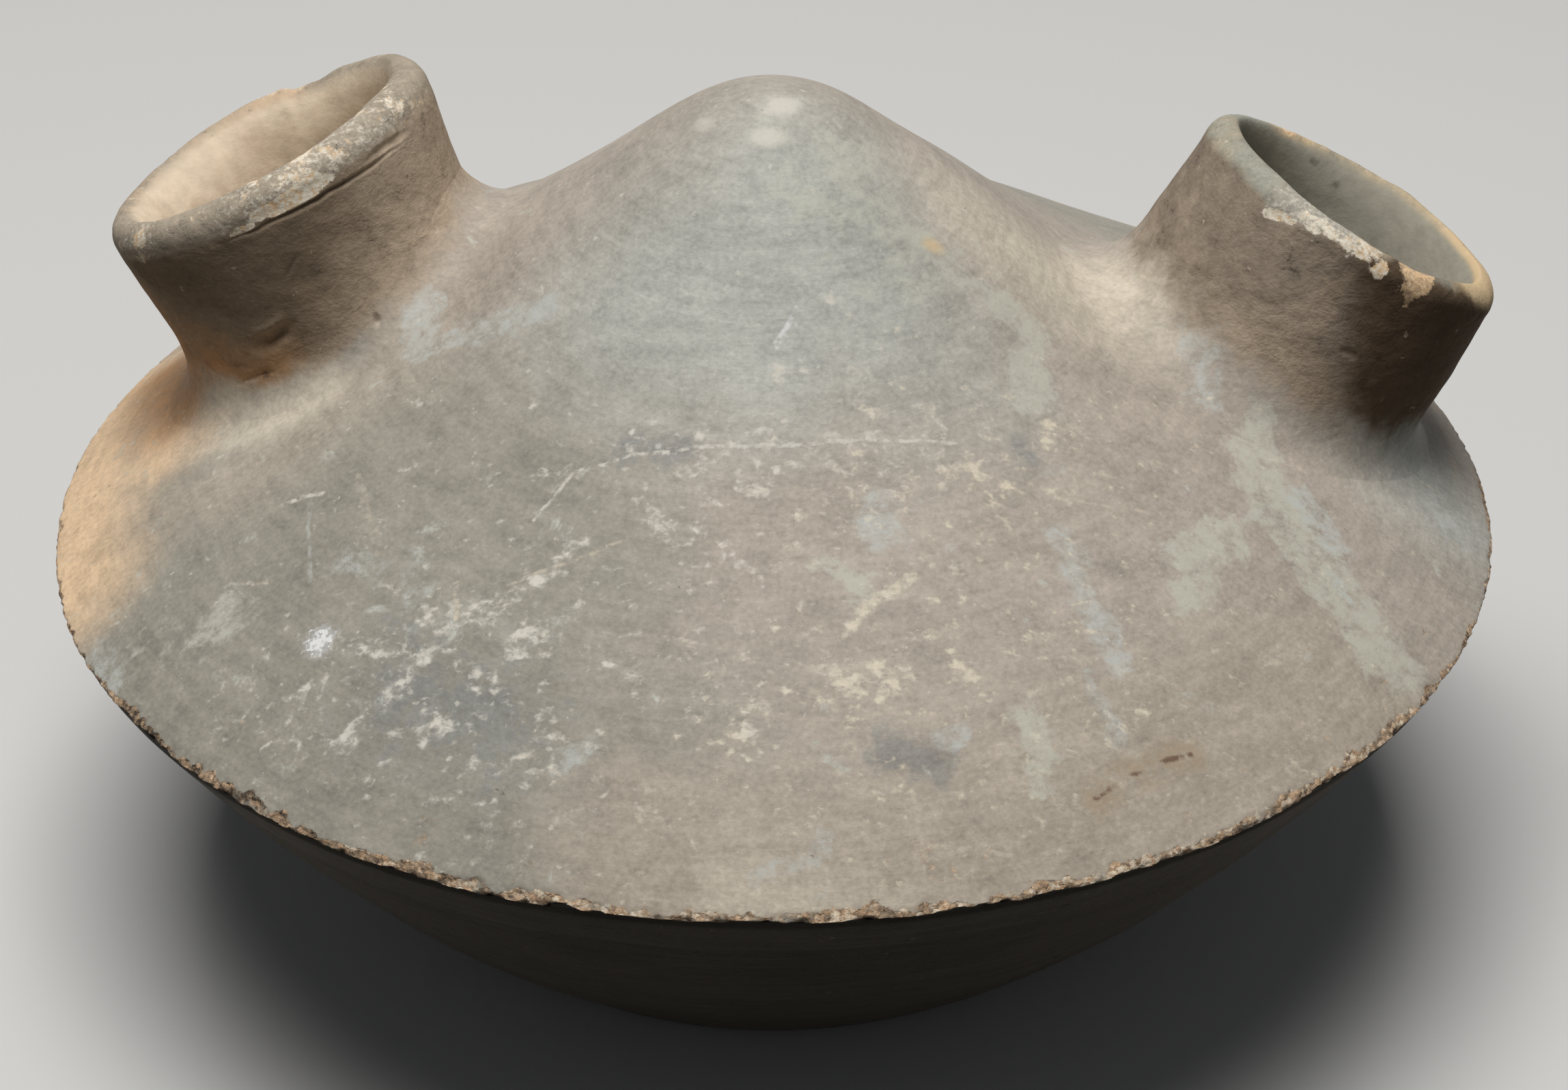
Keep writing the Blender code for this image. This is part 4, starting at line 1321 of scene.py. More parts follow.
LEFT_CLAY = SpoutClay(
    # Partly painted shade: the dark colour is laid on the front of the left neck, which is turned from the
    # lamp.
    brown=(0.515, 0.410, 0.306), smoked_and_shaded=(0.255, 0.195, 0.135), warm=(0.560, 0.310, 0.150),
    # Partly painted light: the left bore's pale buff.
    bore=(0.960, 0.810, 0.620), bore_shade=(0.780, 0.630, 0.465), lip=(0.490, 0.416, 0.324),
    lip_dull=(0.385, 0.326, 0.252), lip_warm=(0.740, 0.545, 0.370), lip_bed=(0.450, 0.385, 0.300),
    smoke_angle=91.0, smoke_span=58.0, smoke_fade=58.0, warm_angle=30.0, warm_span=92.0,
    hair_tilt=38.0, hair=0.42, coarse=0.8, soot_and_shade=0.10, tint=0.15, root_fade=(0.52, 0.98))
RIGHT_CLAY = SpoutClay(
    # Partly painted shade: the dark colour is laid on the right neck's front and outer side, which face down
    # from the lamp.
    brown=(0.328, 0.266, 0.205), smoked_and_shaded=(0.124, 0.086, 0.055), warm=(0.520, 0.415, 0.312),
    # Partly painted shade: the right bore's grey.
    bore=(0.430, 0.405, 0.330), bore_shade=(0.315, 0.296, 0.242), lip=(0.405, 0.400, 0.332),
    lip_dull=(0.450, 0.395, 0.300), lip_warm=(0.840, 0.620, 0.360), lip_bed=(0.430, 0.400, 0.340),
    # Painted bounce light: the warm colour lightens the right neck's low front, where light thrown up from
    # the shoulder falls.
    smoke_angle=312.0, smoke_span=71.0, smoke_fade=34.0, warm_angle=248.0, warm_span=42.0,
    hair_tilt=-30.0, hair=0.10, coarse=1.15, soot_and_shade=0.24, tint=0.28, root_fade=(0.62, 1.00),
    holes=((0.0806, 0.0259, 0.0914), (0.0779, 0.0263, 0.0948)))


def burnished(tree: ShaderTree) -> Coat:
    """Return the shoulder's coat, which several pieces share."""
    return tree.share("burnished coat", BurnishedClay().coat)


def wiped(tree: ShaderTree) -> Coat:
    """Return the bowl's coat, which several pieces share."""
    return tree.share("wiped coat", WipedClay().coat)


def crumbled(tree: ShaderTree) -> Coat:
    """Return the coat of the broken edge, which several pieces share."""
    return tree.share("edge break", EDGE_BREAK.coat)


def store_marks(piece: bpy.types.Object, marks: dict[str, np.ndarray]) -> None:
    """Store marks on a piece's points.

    Args:
        piece: The piece.
        marks: One value for each point, by the mark's name; points past the end get 0.
    """
    for name, values in marks.items():
        full = np.zeros(len(piece.data.vertices), dtype=np.float32)
        full[: values.size] = values.reshape(-1)
        piece.data.attributes.new(name, "FLOAT", "POINT").data.foreach_set("value", full)


def mark_shoulder(piece: bpy.types.Object, spouts: "Sequence[Spout]") -> None:
    """Store the shoulder's marks on a piece, and how near it is to each spout.

    Args:
        piece: The piece.
        spouts: The jar's spouts.
    """
    flat = np.zeros(len(piece.data.vertices) * 3, dtype=np.float32)
    piece.data.vertices.foreach_get("co", flat)
    points = flat.reshape(-1, 3).astype(float)
    marks = read_marks(points)
    # Partly painted shade: the tint and sooty darkening round each neck's foot.
    marks["near"] = np.max([spout.nearness(points) for spout in spouts], axis=0)
    marks["soot_and_shade"] = np.max([spout.soot_and_shade_amount(points) for spout in spouts], axis=0)
    store_marks(piece, marks)


def place_piece(piece: bpy.types.Object, node: str, material: bpy.types.Material) -> None:
    """Dress a piece and let it stand for its solid.

    Args:
        piece: The piece.
        node: The solid that it stands for.
        material: Its material.
    """
    piece.data.materials.clear()
    piece.data.materials.append(material)
    piece.data.update()
    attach(piece, "root")
    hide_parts(node)
    LOG.info("%s: %d points", piece.name, len(piece.data.vertices))


@dataclass
class Spout:
    """One spout: its neck, its lip and the clay smeared round its root."""

    form: SpoutForm
    jar: JarForm
    clay: SpoutClay
    steps: int = 560
    collar_rows: int = 26
    neck_rows: int = 62
    side_rows: int = 8
    crown_rows: int = 18
    bore_rows: int = 20
    root_dip: float = 0.00018
    # Partly painted shade: how far the tint and sooty darkening reach from the neck's foot.
    tint_reach: float = 0.0105
    tint_wrap: float = 0.35
    soot_and_shade_reach: float = 0.0085
    # Partly painted shade: the neck darkens upwards towards the lip's overhang.
    smoke_height: float = 0.012
    smoke_rise: float = 32.0
    # Where the warm colour lies: orange clay on the left neck, painted bounce light on the right neck.
    warm_start: float = 1.1
    warm_height: float = 0.022
    foot_tries: int = 14
    foot_slope: float = 1.15
    neck_crowding: float = 1.25
    wall_overrun: float = 1.1
    bore_foot: float = 0.0022
    bore_spread: float = 0.0012
    inside_turn: Spot = (0.15, 0.70)
    collar_inset: float = 0.0012
    crest_sink: float = 0.0008
    corner_sink: float = 0.0015
    fringe_inset: float = 0.0008
    fringe_sink: float = 0.0014
    neck_inset: float = 0.0020
    neck_sink: float = 0.0045
    seam_inset: float = 0.0008
    seam_sink: float = 0.0004
    root_fade_share: float = 0.8
    lip_fade_rows: int = 6

    @property
    def name(self) -> str:
        """The spout's side, for the names of its pieces."""
        return self.form.side.value

    @property
    def degrees(self) -> np.ndarray:
        """Angles of the steps round the spout."""
        return np.arange(self.steps) * 360.0 / self.steps

    def frame(self) -> tuple[np.ndarray, np.ndarray]:
        """Return the spout's seat on the shoulder, and its three axes as columns."""
        form = self.form
        reach = self.jar.radius - form.seat_inset
        azimuth = math.radians(form.seat_azimuth)
        height = float(self.jar.rise(np.array(reach)))
        seat = np.array([reach * math.cos(azimuth), reach * math.sin(azimuth), height])
        turn = Matrix.Rotation(math.radians(form.lean_azimuth), 3, "Z")
        tip = Matrix.Rotation(math.radians(form.lean), 3, "Y")
        return seat, np.array(turn @ tip)

    def spot(self, degrees: np.ndarray, reach: np.ndarray, heights: np.ndarray) -> np.ndarray:
        """Return points from angles, radii and heights about the spout's axis."""
        seat, axes = self.frame()
        angles, reach, heights = np.broadcast_arrays(np.radians(degrees), reach, heights)
        local = np.stack([reach * np.cos(angles), reach * np.sin(angles), heights], axis=-1)
        return seat + local @ axes.T

    def foot(self, degrees: np.ndarray, reach: np.ndarray, drop: float = 0.0) -> np.ndarray:
        """Return the heights at which the spout meets the shoulder's skin.

        Args:
            degrees: Angles round the spout.
            reach: Radii from its axis.
            drop: Distance below the skin to stop at.

        Returns:
            Heights along the spout's axis.
        """
        heights = np.zeros_like(degrees)
        for _ in range(self.foot_tries):
            points = self.spot(degrees, reach, heights)
            above = points[..., 2] - self.jar.skin(points[..., 0], points[..., 1]) + drop
            heights = heights - above / self.foot_slope
        return heights

    def root_lines(self) -> tuple[np.ndarray, np.ndarray]:
        """Return the heights at which the neck meets the shoulder, and those of its root's top."""
        degrees = self.degrees
        corner = self.foot(degrees, np.full_like(degrees, self.form.neck_radius))
        return corner, corner + MM * round_blend(degrees, self.form.root_rise)

    def outline(self) -> tuple[np.ndarray, np.ndarray, dict[str, int], np.ndarray]:
        """Work out the section at each angle, from root over the lip to the bore's foot.

        Returns:
            Radii, heights, the rows at which pieces meet, and a mark of how far inside each point is.
        """
        form = self.form
        degrees = self.degrees
        reach = MM * round_blend(degrees, form.root_reach)
        corner, crest = self.root_lines()
        tip = self.foot(degrees, form.neck_radius + reach) - self.root_dip
        part = np.linspace(0.0, 1.0, self.collar_rows)[:, None]
        keep = (1.0 - part) ** 2
        turn = 2.0 * part * (1.0 - part)
        end = part ** 2
        collar_reach = keep * (form.neck_radius + reach) + turn * form.neck_radius
        collar_reach = collar_reach + end * form.outer(degrees, crest)
        collar_height = keep * tip + turn * corner + end * crest
        lift = MM * round_blend(degrees, form.lip_lift)
        joint = form.joint_height + 0.5 * lift
        spine = form.spine_height + lift
        part = 1.0 - (1.0 - np.linspace(0.0, 1.0, self.neck_rows + 1)[1:, None]) ** self.neck_crowding
        neck_height = crest + (joint - crest) * part
        part = np.linspace(0.0, 1.0, self.side_rows + 1)[1:, None]
        side_height = joint + (spine - joint) * part
        half = (form.lip_thickness + MM * round_blend(degrees, form.lip_swell)) / 2.0
        middle = form.mouth_radius - half
        sweep = np.linspace(0.0, 0.5 * math.pi, self.crown_rows + 1)[1:, None]
        crown_reach = middle + half * np.cos(sweep) * np.ones_like(degrees)
        crown_height = spine + form.lip_crown * np.sin(sweep)
        top = spine + form.lip_crown
        turn = np.arccos(1.0 - (top - joint) / form.bore_flare)
        part = np.linspace(0.0, 1.0, self.crown_rows + 1)[1:, None]
        sweep = np.concatenate([turn * part, turn + (0.5 * math.pi - turn) * part])
        inner_reach = middle - (middle - form.bore_radius) * np.sin(sweep)
        inner_height = top - form.bore_flare * (1.0 - np.cos(sweep))
        depth = self.jar.shoulder_wall * self.wall_overrun
        foot = self.foot(degrees, np.full_like(degrees, form.bore_radius), depth)
        part = np.linspace(0.0, 1.0, self.bore_rows + 1)[1:, None]
        bore_height = inner_height[-1] + (foot - inner_height[-1]) * part
        spread = smooth_step(self.bore_foot, 0.0, bore_height - foot) * self.bore_spread
        bore_reach = form.bore_radius + spread
        even = np.minimum(np.concatenate([neck_height, side_height]) - lift, form.spine_height)
        reach_all = np.vstack([collar_reach, form.outer(degrees, even), crown_reach, inner_reach, bore_reach])
        height_all = np.vstack([
            collar_height, neck_height, side_height, crown_height, inner_height, bore_height])
        rows = {"crest": self.collar_rows - 1, "joint": self.collar_rows + self.neck_rows - 1}
        rows["top"] = rows["joint"] + self.side_rows + self.crown_rows
        rows["bore"] = rows["top"] + self.crown_rows
        inside = np.zeros_like(reach_all)
        inside[rows["top"] + 1: rows["top"] + len(sweep) + 1] = smooth_step(*self.inside_turn, sweep)
        inside[rows["top"] + len(sweep) + 1:] = 1.0
        return reach_all, height_all, rows, inside

    def worn_skin(self) -> tuple[np.ndarray, dict[str, int], dict[str, np.ndarray]]:
        """Press the clay's lumps, grit and gouges into the section.

        Returns:
            Points, the rows at which pieces meet, and the marks on each point.
        """
        form = self.form
        noise = self.jar.noise
        reach, heights, rows, inside = self.outline()
        degrees = np.broadcast_to(self.degrees, reach.shape)
        points = self.spot(degrees, reach, heights)
        across = np.roll(points, -1, axis=1) - np.roll(points, 1, axis=1)
        along = np.gradient(points, axis=0)
        normal = np.cross(across, along)
        normal /= np.maximum(np.linalg.norm(normal, axis=-1, keepdims=True), 1e-12)
        number = np.arange(len(points))[:, None]
        fade = smooth_step(0.0, rows["crest"] * self.root_fade_share, number) * np.ones_like(reach)
        start, end = rows["joint"] - self.lip_fade_rows, rows["joint"] + self.lip_fade_rows
        lip = smooth_step(start, end, number) * (1.0 - inside)
        lumps = 0.30 * noise.wave(points, 0.017, 31) + 0.13 * noise.wave(points, 0.0060, 32)
        grit = 0.05 * noise.wave(points, 0.0022, 33)
        broken = round_blend(degrees, form.lip_broken) * lip
        broken = np.clip(broken * (1.0 + 0.9 * noise.wave(points, 0.0035, 34)), 0.0, 1.0)
        crumbs = 0.16 * noise.wave(points, 0.0019, 35) + 0.10 * noise.wave(points, 0.0010, 36) - 0.12
        crumbs = broken * crumbs
        move = MM * (lumps + grit * (1.0 - 0.6 * inside) + crumbs) * fade
        stray = 0.35 * noise.wave(points, 0.0030, 37)
        shift = MM * round_blend(degrees, form.rim_shift)
        torn = degrees + 2.2 * noise.wave(points, 0.0017, 38)
        for gouge in form.gouges:
            press = gouge.press(torn, heights + MM * stray) * (1.0 - inside)
            move = move - gouge.depth * press * (1.0 + 0.5 * stray)
            broken = np.maximum(broken, gouge.broken * smooth_step(0.0, 0.70, press))
        chill = np.abs(turn_gap(degrees, self.clay.warm_angle)) / self.clay.warm_span
        marks = {
            "inside": inside, "worn": broken, "favour": round_blend(degrees, form.lip_favour),
            "climb": np.minimum(number / rows["crest"], 1.0) * np.ones_like(reach),
            "rim": smooth_step(form.rim_start, form.rim_end, heights - form.joint_height - shift),
            "gritty": round_blend(degrees, form.lip_pale), "rubbed": round_blend(degrees, form.lip_warm),
            # Partly painted shade: darker on the neck's side turned from the lamp, and higher up under the
            # lip.
            "smoke": self.smoke_and_shade_amount(degrees) + (heights - self.smoke_height) * self.smoke_rise,
            # Orange clay on the left neck, painted bounce light on the right neck's low front.
            "warmth_and_bounce_light": self.warm_start - chill - heights / self.warm_height}
        return points + normal * move[..., None], rows, marks

    def around(self, points: np.ndarray, reach: float) -> tuple[np.ndarray, np.ndarray]:
        """Find where points lie round the spout.

        Args:
            points: Points in metres.
            reach: Distance from the neck at which nearness ends.

        Returns:
            How near each point is, 1 at the neck and 0 at that distance, and its angle in degrees.
        """
        seat, axes = self.frame()
        local = (points - seat) @ axes
        away = np.hypot(local[..., 0], local[..., 1]) - self.form.neck_radius
        return np.clip(1.0 - away / reach, 0.0, 1.0), np.degrees(np.arctan2(local[..., 1], local[..., 0]))

    def nearness(self, points: np.ndarray) -> np.ndarray:
        """Return how strong the neck's tint is, partly painted shade in the corner at its foot: at its full
        strength on the neck, and 0 at its end.
        """
        near, degrees = self.around(points, self.tint_reach)
        return near * np.clip(self.smoke_and_shade_amount(degrees) + self.tint_wrap, 0.0, 1.0) * self.clay.tint

    def soot_and_shade_amount(self, points: np.ndarray) -> np.ndarray:
        """Return how much points are darkened, as sooty clay and painted shade, near the neck's side turned
        from the lamp.
        """
        near, degrees = self.around(points, self.soot_and_shade_reach)
        return near * self.smoke_and_shade_amount(degrees) * self.clay.soot_and_shade

    def smoke_and_shade_amount(self, degrees: np.ndarray) -> np.ndarray:
        """Return how strong the smoky darkening and painted shade are at angles round the spout."""
        near = self.clay.smoke_span - np.abs(turn_gap(degrees, self.clay.smoke_angle))
        return np.minimum(near / self.clay.smoke_fade, 1.0)

    def build(self, spouts: "Sequence[Spout]") -> None:
        """Make the spout's three pieces and dress them.

        Args:
            spouts: Both of the jar's spouts, for the tint round their roots.
        """
        form = self.form
        points, rows, marks = self.worn_skin()
        degrees = self.degrees
        neck = form.neck_radius
        corner, crest = self.root_lines()
        fringe = neck + MM * round_blend(degrees, form.root_reach) - self.fringe_inset
        buried = neck - self.neck_inset
        behind = np.stack([
            self.spot(degrees, neck - self.collar_inset, crest - self.crest_sink),
            self.spot(degrees, neck - self.collar_inset, corner - self.corner_sink),
            self.spot(degrees, fringe, self.foot(degrees, fringe, self.fringe_sink))])
        spans = [slice(0, rows["crest"] + 1)]
        piece = self.piece("root_smear", points, spans, behind, marks)
        mark_shoulder(piece, spouts)
        place_piece(piece, f"{self.name}_luting_collar", self.root_material())
        hidden = np.stack([
            self.spot(degrees, buried, self.foot(degrees, np.full_like(degrees, buried), self.neck_sink)),
            self.spot(degrees, neck - self.seam_inset, corner - self.seam_sink)])
        spans = [slice(rows["crest"], rows["joint"] + 1), slice(rows["bore"], len(points))]
        piece = self.piece("neck", points, spans, hidden, marks)
        place_piece(piece, f"{self.name}_spout_neck", self.tube_material("neck"))
        piece = self.piece("lip", points, [slice(rows["joint"], rows["bore"] + 1)], hidden[:0], marks)
        place_piece(piece, f"{self.name}_spout_lip", self.tube_material("lip"))

    def piece(self, name: str, points: np.ndarray, spans: list[slice], spare: np.ndarray,
              marks: dict[str, np.ndarray]) -> bpy.types.Object:
        """Make one piece from spans of the spout's rows.

        Args:
            name: The piece's name, without its side.
            points: All rows of the spout.
            spans: The rows that the piece takes.
            spare: Rows that close it out of sight.
            marks: Marks on all rows.

        Returns:
            The piece.
        """
        rings = np.concatenate([*(points[span] for span in spans), spare])
        made = ClayMesh(f"{self.name}_{name}", rings).build()
        taken = {key: np.concatenate([values[span] for span in spans]) for key, values in marks.items()}
        store_marks(made, taken)
        return made

    def outside(self, tree: ShaderTree) -> Coat:
        """Return the coat of the neck's outer side."""
        return tree.share(f"{self.name} neck coat", self.clay.outside)

    def inside(self, tree: ShaderTree) -> Coat:
        """Return the coat of the bore."""
        return tree.share(f"{self.name} bore coat", self.clay.inside)

    def root_material(self) -> bpy.types.Material:
        """Return the material of the root's smeared clay, from shoulder to neck."""
        material, tree = start_material(f"{self.name} root clay")
        shoulder = burnished(tree)
        ragged = (tree.cloud(0.006, 4.0, 0.6, (0.5, 0.9, 0.1)) - 0.5) * 0.8
        part = (tree.mark("climb") + ragged).step(*self.clay.root_fade)
        tree.finish(shoulder.under(self.outside(tree), part), ROOT_SHINE)
        return material

    def tube_material(self, name: str) -> bpy.types.Material:
        """Return the material of the neck or lip: rough outside, gritty at the rim, smooth in the bore."""
        material, tree = start_material(f"{self.name} {name} clay")
        ragged = (tree.cloud(0.0030, 4.0, 0.65, (0.5, 0.9, 0.1)) - 0.5) * 0.9
        gritty = (tree.mark("rim") + ragged).step(0.1, 0.75)
        coat = self.outside(tree).under(tree.share(f"{self.name} rim coat", self.clay.rim), gritty)
        coat = coat.under(self.inside(tree), tree.mark("inside"))
        torn = (tree.cloud(0.0012, 4.0, 0.75, (0.7, 0.2, 0.6)) - 0.5) * 2.0
        worn = (tree.mark("worn") + ragged * 0.6 + torn).step(0.50, 0.85)
        tree.finish(coat.under(tree.share("lip break", LIP_BREAK.coat), worn), SPOUT_SHINE)
        return material


EDGE_FAVOUR: Stops = (
    (-180, 0.60), (-155, 0.35), (-143, 0.08), (-132, 0.18), (-120, 0.55), (-95, 0.85), (-80, 0.72),
    (-62, 0.85), (-45, 0.60), (-30, 0.55), (0, 0.55), (90, 0.50))


def ring(steps: int) -> np.ndarray:
    """Return one row of evenly spaced angles round the jar, in radians."""
    return (np.arange(steps) * 2.0 * math.pi / steps)[None, :]


@dataclass
class Body:
    """The jar's body: base, bowl, edge coil, shoulder and the plug that closes its peak."""

    jar: JarForm
    spouts: tuple[Spout, ...]
    steps: int = 560
    edge_steps: int = 1620
    shoulder_rows: int = 84
    lining_rows: int = 14
    edge_rows: int = 26
    edge_crowding: float = 1.5
    edge_upper_share: float = 0.809
    edge_lower_share: float = 0.845
    edge_lining: float = 0.004
    edge_under: float = -0.0008
    bowl_rows: int = 52
    bowl_lining_rows: int = 10
    base_rows: int = 24
    base_centre: float = 0.004
    base_hollow: float = 0.0004
    base_lump: float = 0.00012
    base_lining: float = 0.002
    base_lining_rows: int = 8
    foot_rows: int = 7
    foot_inset: float = 0.0018
    foot_bulge: float = 0.0002
    foot_height: float = 0.0022
    hole_radius: float = 0.0205
    hole_half_length: float = 0.030
    hole_steps: int = 96
    plug_rows: int = 30
    plug_lining_rows: int = 8
    plug_centre: float = 0.0004

    def build(self) -> None:
        """Make the body's pieces and dress them."""
        self.build_base()
        self.build_bowl()
        self.build_edge()
        self.build_shoulder()
        self.build_plug()

    def build_base(self) -> None:
        """Make the flat base, a little hollow under its middle and rounded at its foot."""
        jar = self.jar
        angles = ring(self.steps)
        reach = np.linspace(self.base_centre, jar.base_radius - self.foot_inset, self.base_rows)[:, None]
        hollow = self.base_hollow * (1.0 - (reach / jar.base_radius) ** 2)
        lumps = jar.noise.wave(turned(angles, reach, np.zeros_like(reach)), 0.012, 61)
        under = turned(angles, reach, hollow + self.base_lump * np.abs(lumps))
        foot = jar.bowl_point(angles, np.full((1, 1), self.foot_height), 0.0)
        edge = []
        for part in np.linspace(0.0, 1.0, self.foot_rows)[1:-1]:
            bend = turned(angles, np.full((1, 1), jar.base_radius + self.foot_bulge), np.zeros((1, 1)))
            edge.append((1 - part) ** 2 * under[-1:] + 2 * part * (1 - part) * bend + part ** 2 * foot)
        side = jar.bowl_point(angles, np.linspace(self.foot_height, jar.base_joint_height, 3)[:, None], 0.0)
        lining = np.linspace(jar.base_radius - self.base_lining, self.base_centre, self.base_lining_rows)
        top = turned(angles, lining[:, None], np.full((self.base_lining_rows, 1), jar.base_thickness))
        rings = np.concatenate([under, *edge, side, top])
        tips = ((0.0, 0.0, self.base_hollow), (0.0, 0.0, jar.base_thickness))
        piece = ClayMesh("base_disc_skin", rings, tips=tips).build()
        material, tree = start_material("base clay")
        height = tree.node("ShaderNodeSeparateXYZ", None, {0: tree.place}, "Z")
        scuffed = tree.cloud(0.004, 4.0, 0.65, (0.4, 0.4, 0.4))
        worn = (height + (scuffed - 0.5) * 0.004).step(0.0016, 0.0002) * 0.6
        coat = wiped(tree)
        tree.finish(coat.under(crumbled(tree), worn), BOWL_SHINE)
        place_piece(piece, "base_disc", material)

    def build_bowl(self) -> None:
        """Make the bowl's wall."""
        jar = self.jar
        angles = ring(self.steps)
        outer = jar.bowl_point(
            angles, np.linspace(jar.seam_foot_height, jar.base_joint_height, self.bowl_rows)[:, None], 0.0)
        lining = np.linspace(jar.base_thickness, jar.seam_foot_height, self.bowl_lining_rows)[:, None]
        inner = jar.bowl_point(angles, lining, jar.bowl_wall)
        piece = ClayMesh("bowl_wall", np.concatenate([outer, inner])).build()
        material, tree = start_material("bowl clay")
        # The bowl's colours are partly painted shade.
        tree.finish(wiped(tree), BOWL_SHINE)
        place_piece(piece, "lower_bowl", material)

    def build_edge(self) -> None:
        """Make the coil at the body's sharp edge, crumbled and chipped all round."""
        jar = self.jar
        angles = ring(self.edge_steps)
        part = np.linspace(1.0, 0.0, self.edge_rows)[:, None] ** self.edge_crowding
        upper_span = jar.radius - jar.seam_top_radius
        lower_span = jar.bowl_depth - jar.seam_foot_height
        upper = jar.shoulder_point(angles, jar.radius - upper_span * part, 0.0)
        lower = jar.bowl_point(angles, jar.bowl_depth - lower_span * part[::-1][1:], 0.0)
        above = upper_span * part / self.edge_upper_share
        across = np.concatenate([above, -lower_span * part[::-1][1:] / self.edge_lower_share])
        outer = np.concatenate([upper, lower])
        wide = np.broadcast_to(angles, outer.shape[:2])
        spread = np.broadcast_to(across, outer.shape[:2])
        outer, worn, hollow = EdgeWear(jar.noise).wear(outer, wide, spread, jar.radius)
        low = np.array([[jar.seam_foot_height], [jar.bowl_depth - self.edge_lining]])
        high = np.array([[jar.radius - self.edge_lining], [jar.seam_top_radius]])
        inner = np.concatenate([
            jar.bowl_point(angles, low, jar.bowl_wall), jar.shoulder_point(angles, high, jar.shoulder_wall)])
        rings = np.concatenate([outer, inner])
        piece = ClayMesh("edge_coil", rings).build()
        # The under mark also takes in the undercut notches, where the dark bowl clay is laid as painted
        # shade.
        store_marks(piece, {
            "worn": worn, "favour": round_blend(np.degrees(wide), EDGE_FAVOUR), "hollow": hollow,
            "under": np.maximum(smooth_step(0.0, self.edge_under, spread), hollow)})
        mark_shoulder(piece, self.spouts)
        place_piece(piece, "seam_coil", self.edge_material())

    def edge_material(self) -> bpy.types.Material:
        """Return the edge's material: shoulder above, bowl below, broken clay between, and painted shade in
        its undercut notches.
        """
        material, tree = start_material("edge clay")
        coat = burnished(tree)
        # Painted shade: the dark bowl coat also fills the undercut notches.
        coat = coat.under(wiped(tree), tree.mark("under"))
        ragged = (tree.cloud(0.0022, 5.0, 0.75, (0.9, 0.1, 0.5)) - 0.5) * 2.6
        patchy = (tree.cloud(0.0080, 3.0, 0.6, (0.3, 0.7, 0.2)) - 0.5) * 2.0
        worn = (tree.mark("worn") + ragged + patchy).step(0.42, 0.92)
        # No broken clay in the undercut notches, which keep their painted shade.
        worn = worn * (tree.mark("hollow") + ragged * 0.3).step(0.85, 0.15)
        tree.finish(coat.under(crumbled(tree), worn), EDGE_SHINE)
        return material

    def build_shoulder(self) -> None:
        """Make the domed shoulder, cut through under each spout."""
        jar = self.jar
        angles = ring(self.steps)
        outer = jar.shoulder_point(
            angles, np.linspace(jar.plug_radius, jar.seam_top_radius, self.shoulder_rows)[:, None], 0.0)
        lining = np.linspace(jar.seam_top_radius, jar.plug_radius, self.lining_rows)[:, None]
        inner = jar.shoulder_point(angles, lining, jar.shoulder_wall)
        piece = ClayMesh("shoulder_wall", np.concatenate([outer, inner])).build()
        for spout in self.spouts:
            self.cut_hole(piece, spout)
        mark_shoulder(piece, self.spouts)
        material, tree = start_material("shoulder clay")
        tree.finish(burnished(tree), SHOULDER_SHINE)
        place_piece(piece, "shoulder", material)

    def cut_hole(self, piece: bpy.types.Object, spout: Spout) -> None:
        """Cut the hole that a spout opens into, inside the thickness of its neck.

        Args:
            piece: The shoulder.
            spout: The spout above the hole.
        """
        degrees = np.arange(self.hole_steps) * 360.0 / self.hole_steps
        ends = (-self.hole_half_length, self.hole_half_length)
        rings = np.stack([
            spout.spot(degrees, np.array(self.hole_radius), np.array(height)) for height in ends])
        seat, axes = spout.frame()
        tips = tuple(tuple(seat + axes[:, 2] * height) for height in ends)
        cutter = ClayMesh("hole_cutter", rings, tips=tips).build()
        cut = piece.modifiers.new("hole", "BOOLEAN")
        cut.operation = "DIFFERENCE"
        cut.solver = "MANIFOLD"
        cut.object = cutter
        made = bpy.data.meshes.new_from_object(piece.evaluated_get(bpy.context.evaluated_depsgraph_get()))
        piece.modifiers.clear()
        old = piece.data
        piece.data = made
        made.name = piece.name
        bpy.data.meshes.remove(old)
        cutter_mesh = cutter.data
        bpy.data.objects.remove(cutter)
        bpy.data.meshes.remove(cutter_mesh)

    def build_plug(self) -> None:
        """Make the plug that closes the peak."""
        jar = self.jar
        angles = ring(self.steps)
        cap = np.linspace(self.plug_centre, jar.plug_radius, self.plug_rows)[:, None]
        lining = np.linspace(jar.plug_radius, self.plug_centre, self.plug_lining_rows)[:, None]
        outer = jar.shoulder_point(angles, cap, 0.0)
        inner = jar.shoulder_point(angles, lining, jar.shoulder_wall)
        tips = tuple(tuple(row.mean(axis=0)) for row in (outer[0], inner[-1]))
        piece = ClayMesh("peak_plug", np.concatenate([outer, inner]), tips=tips).build()
        mark_shoulder(piece, self.spouts)
        material, tree = start_material("peak clay")
        tree.finish(burnished(tree), SHOULDER_SHINE)
        place_piece(piece, "apex_plug", material)


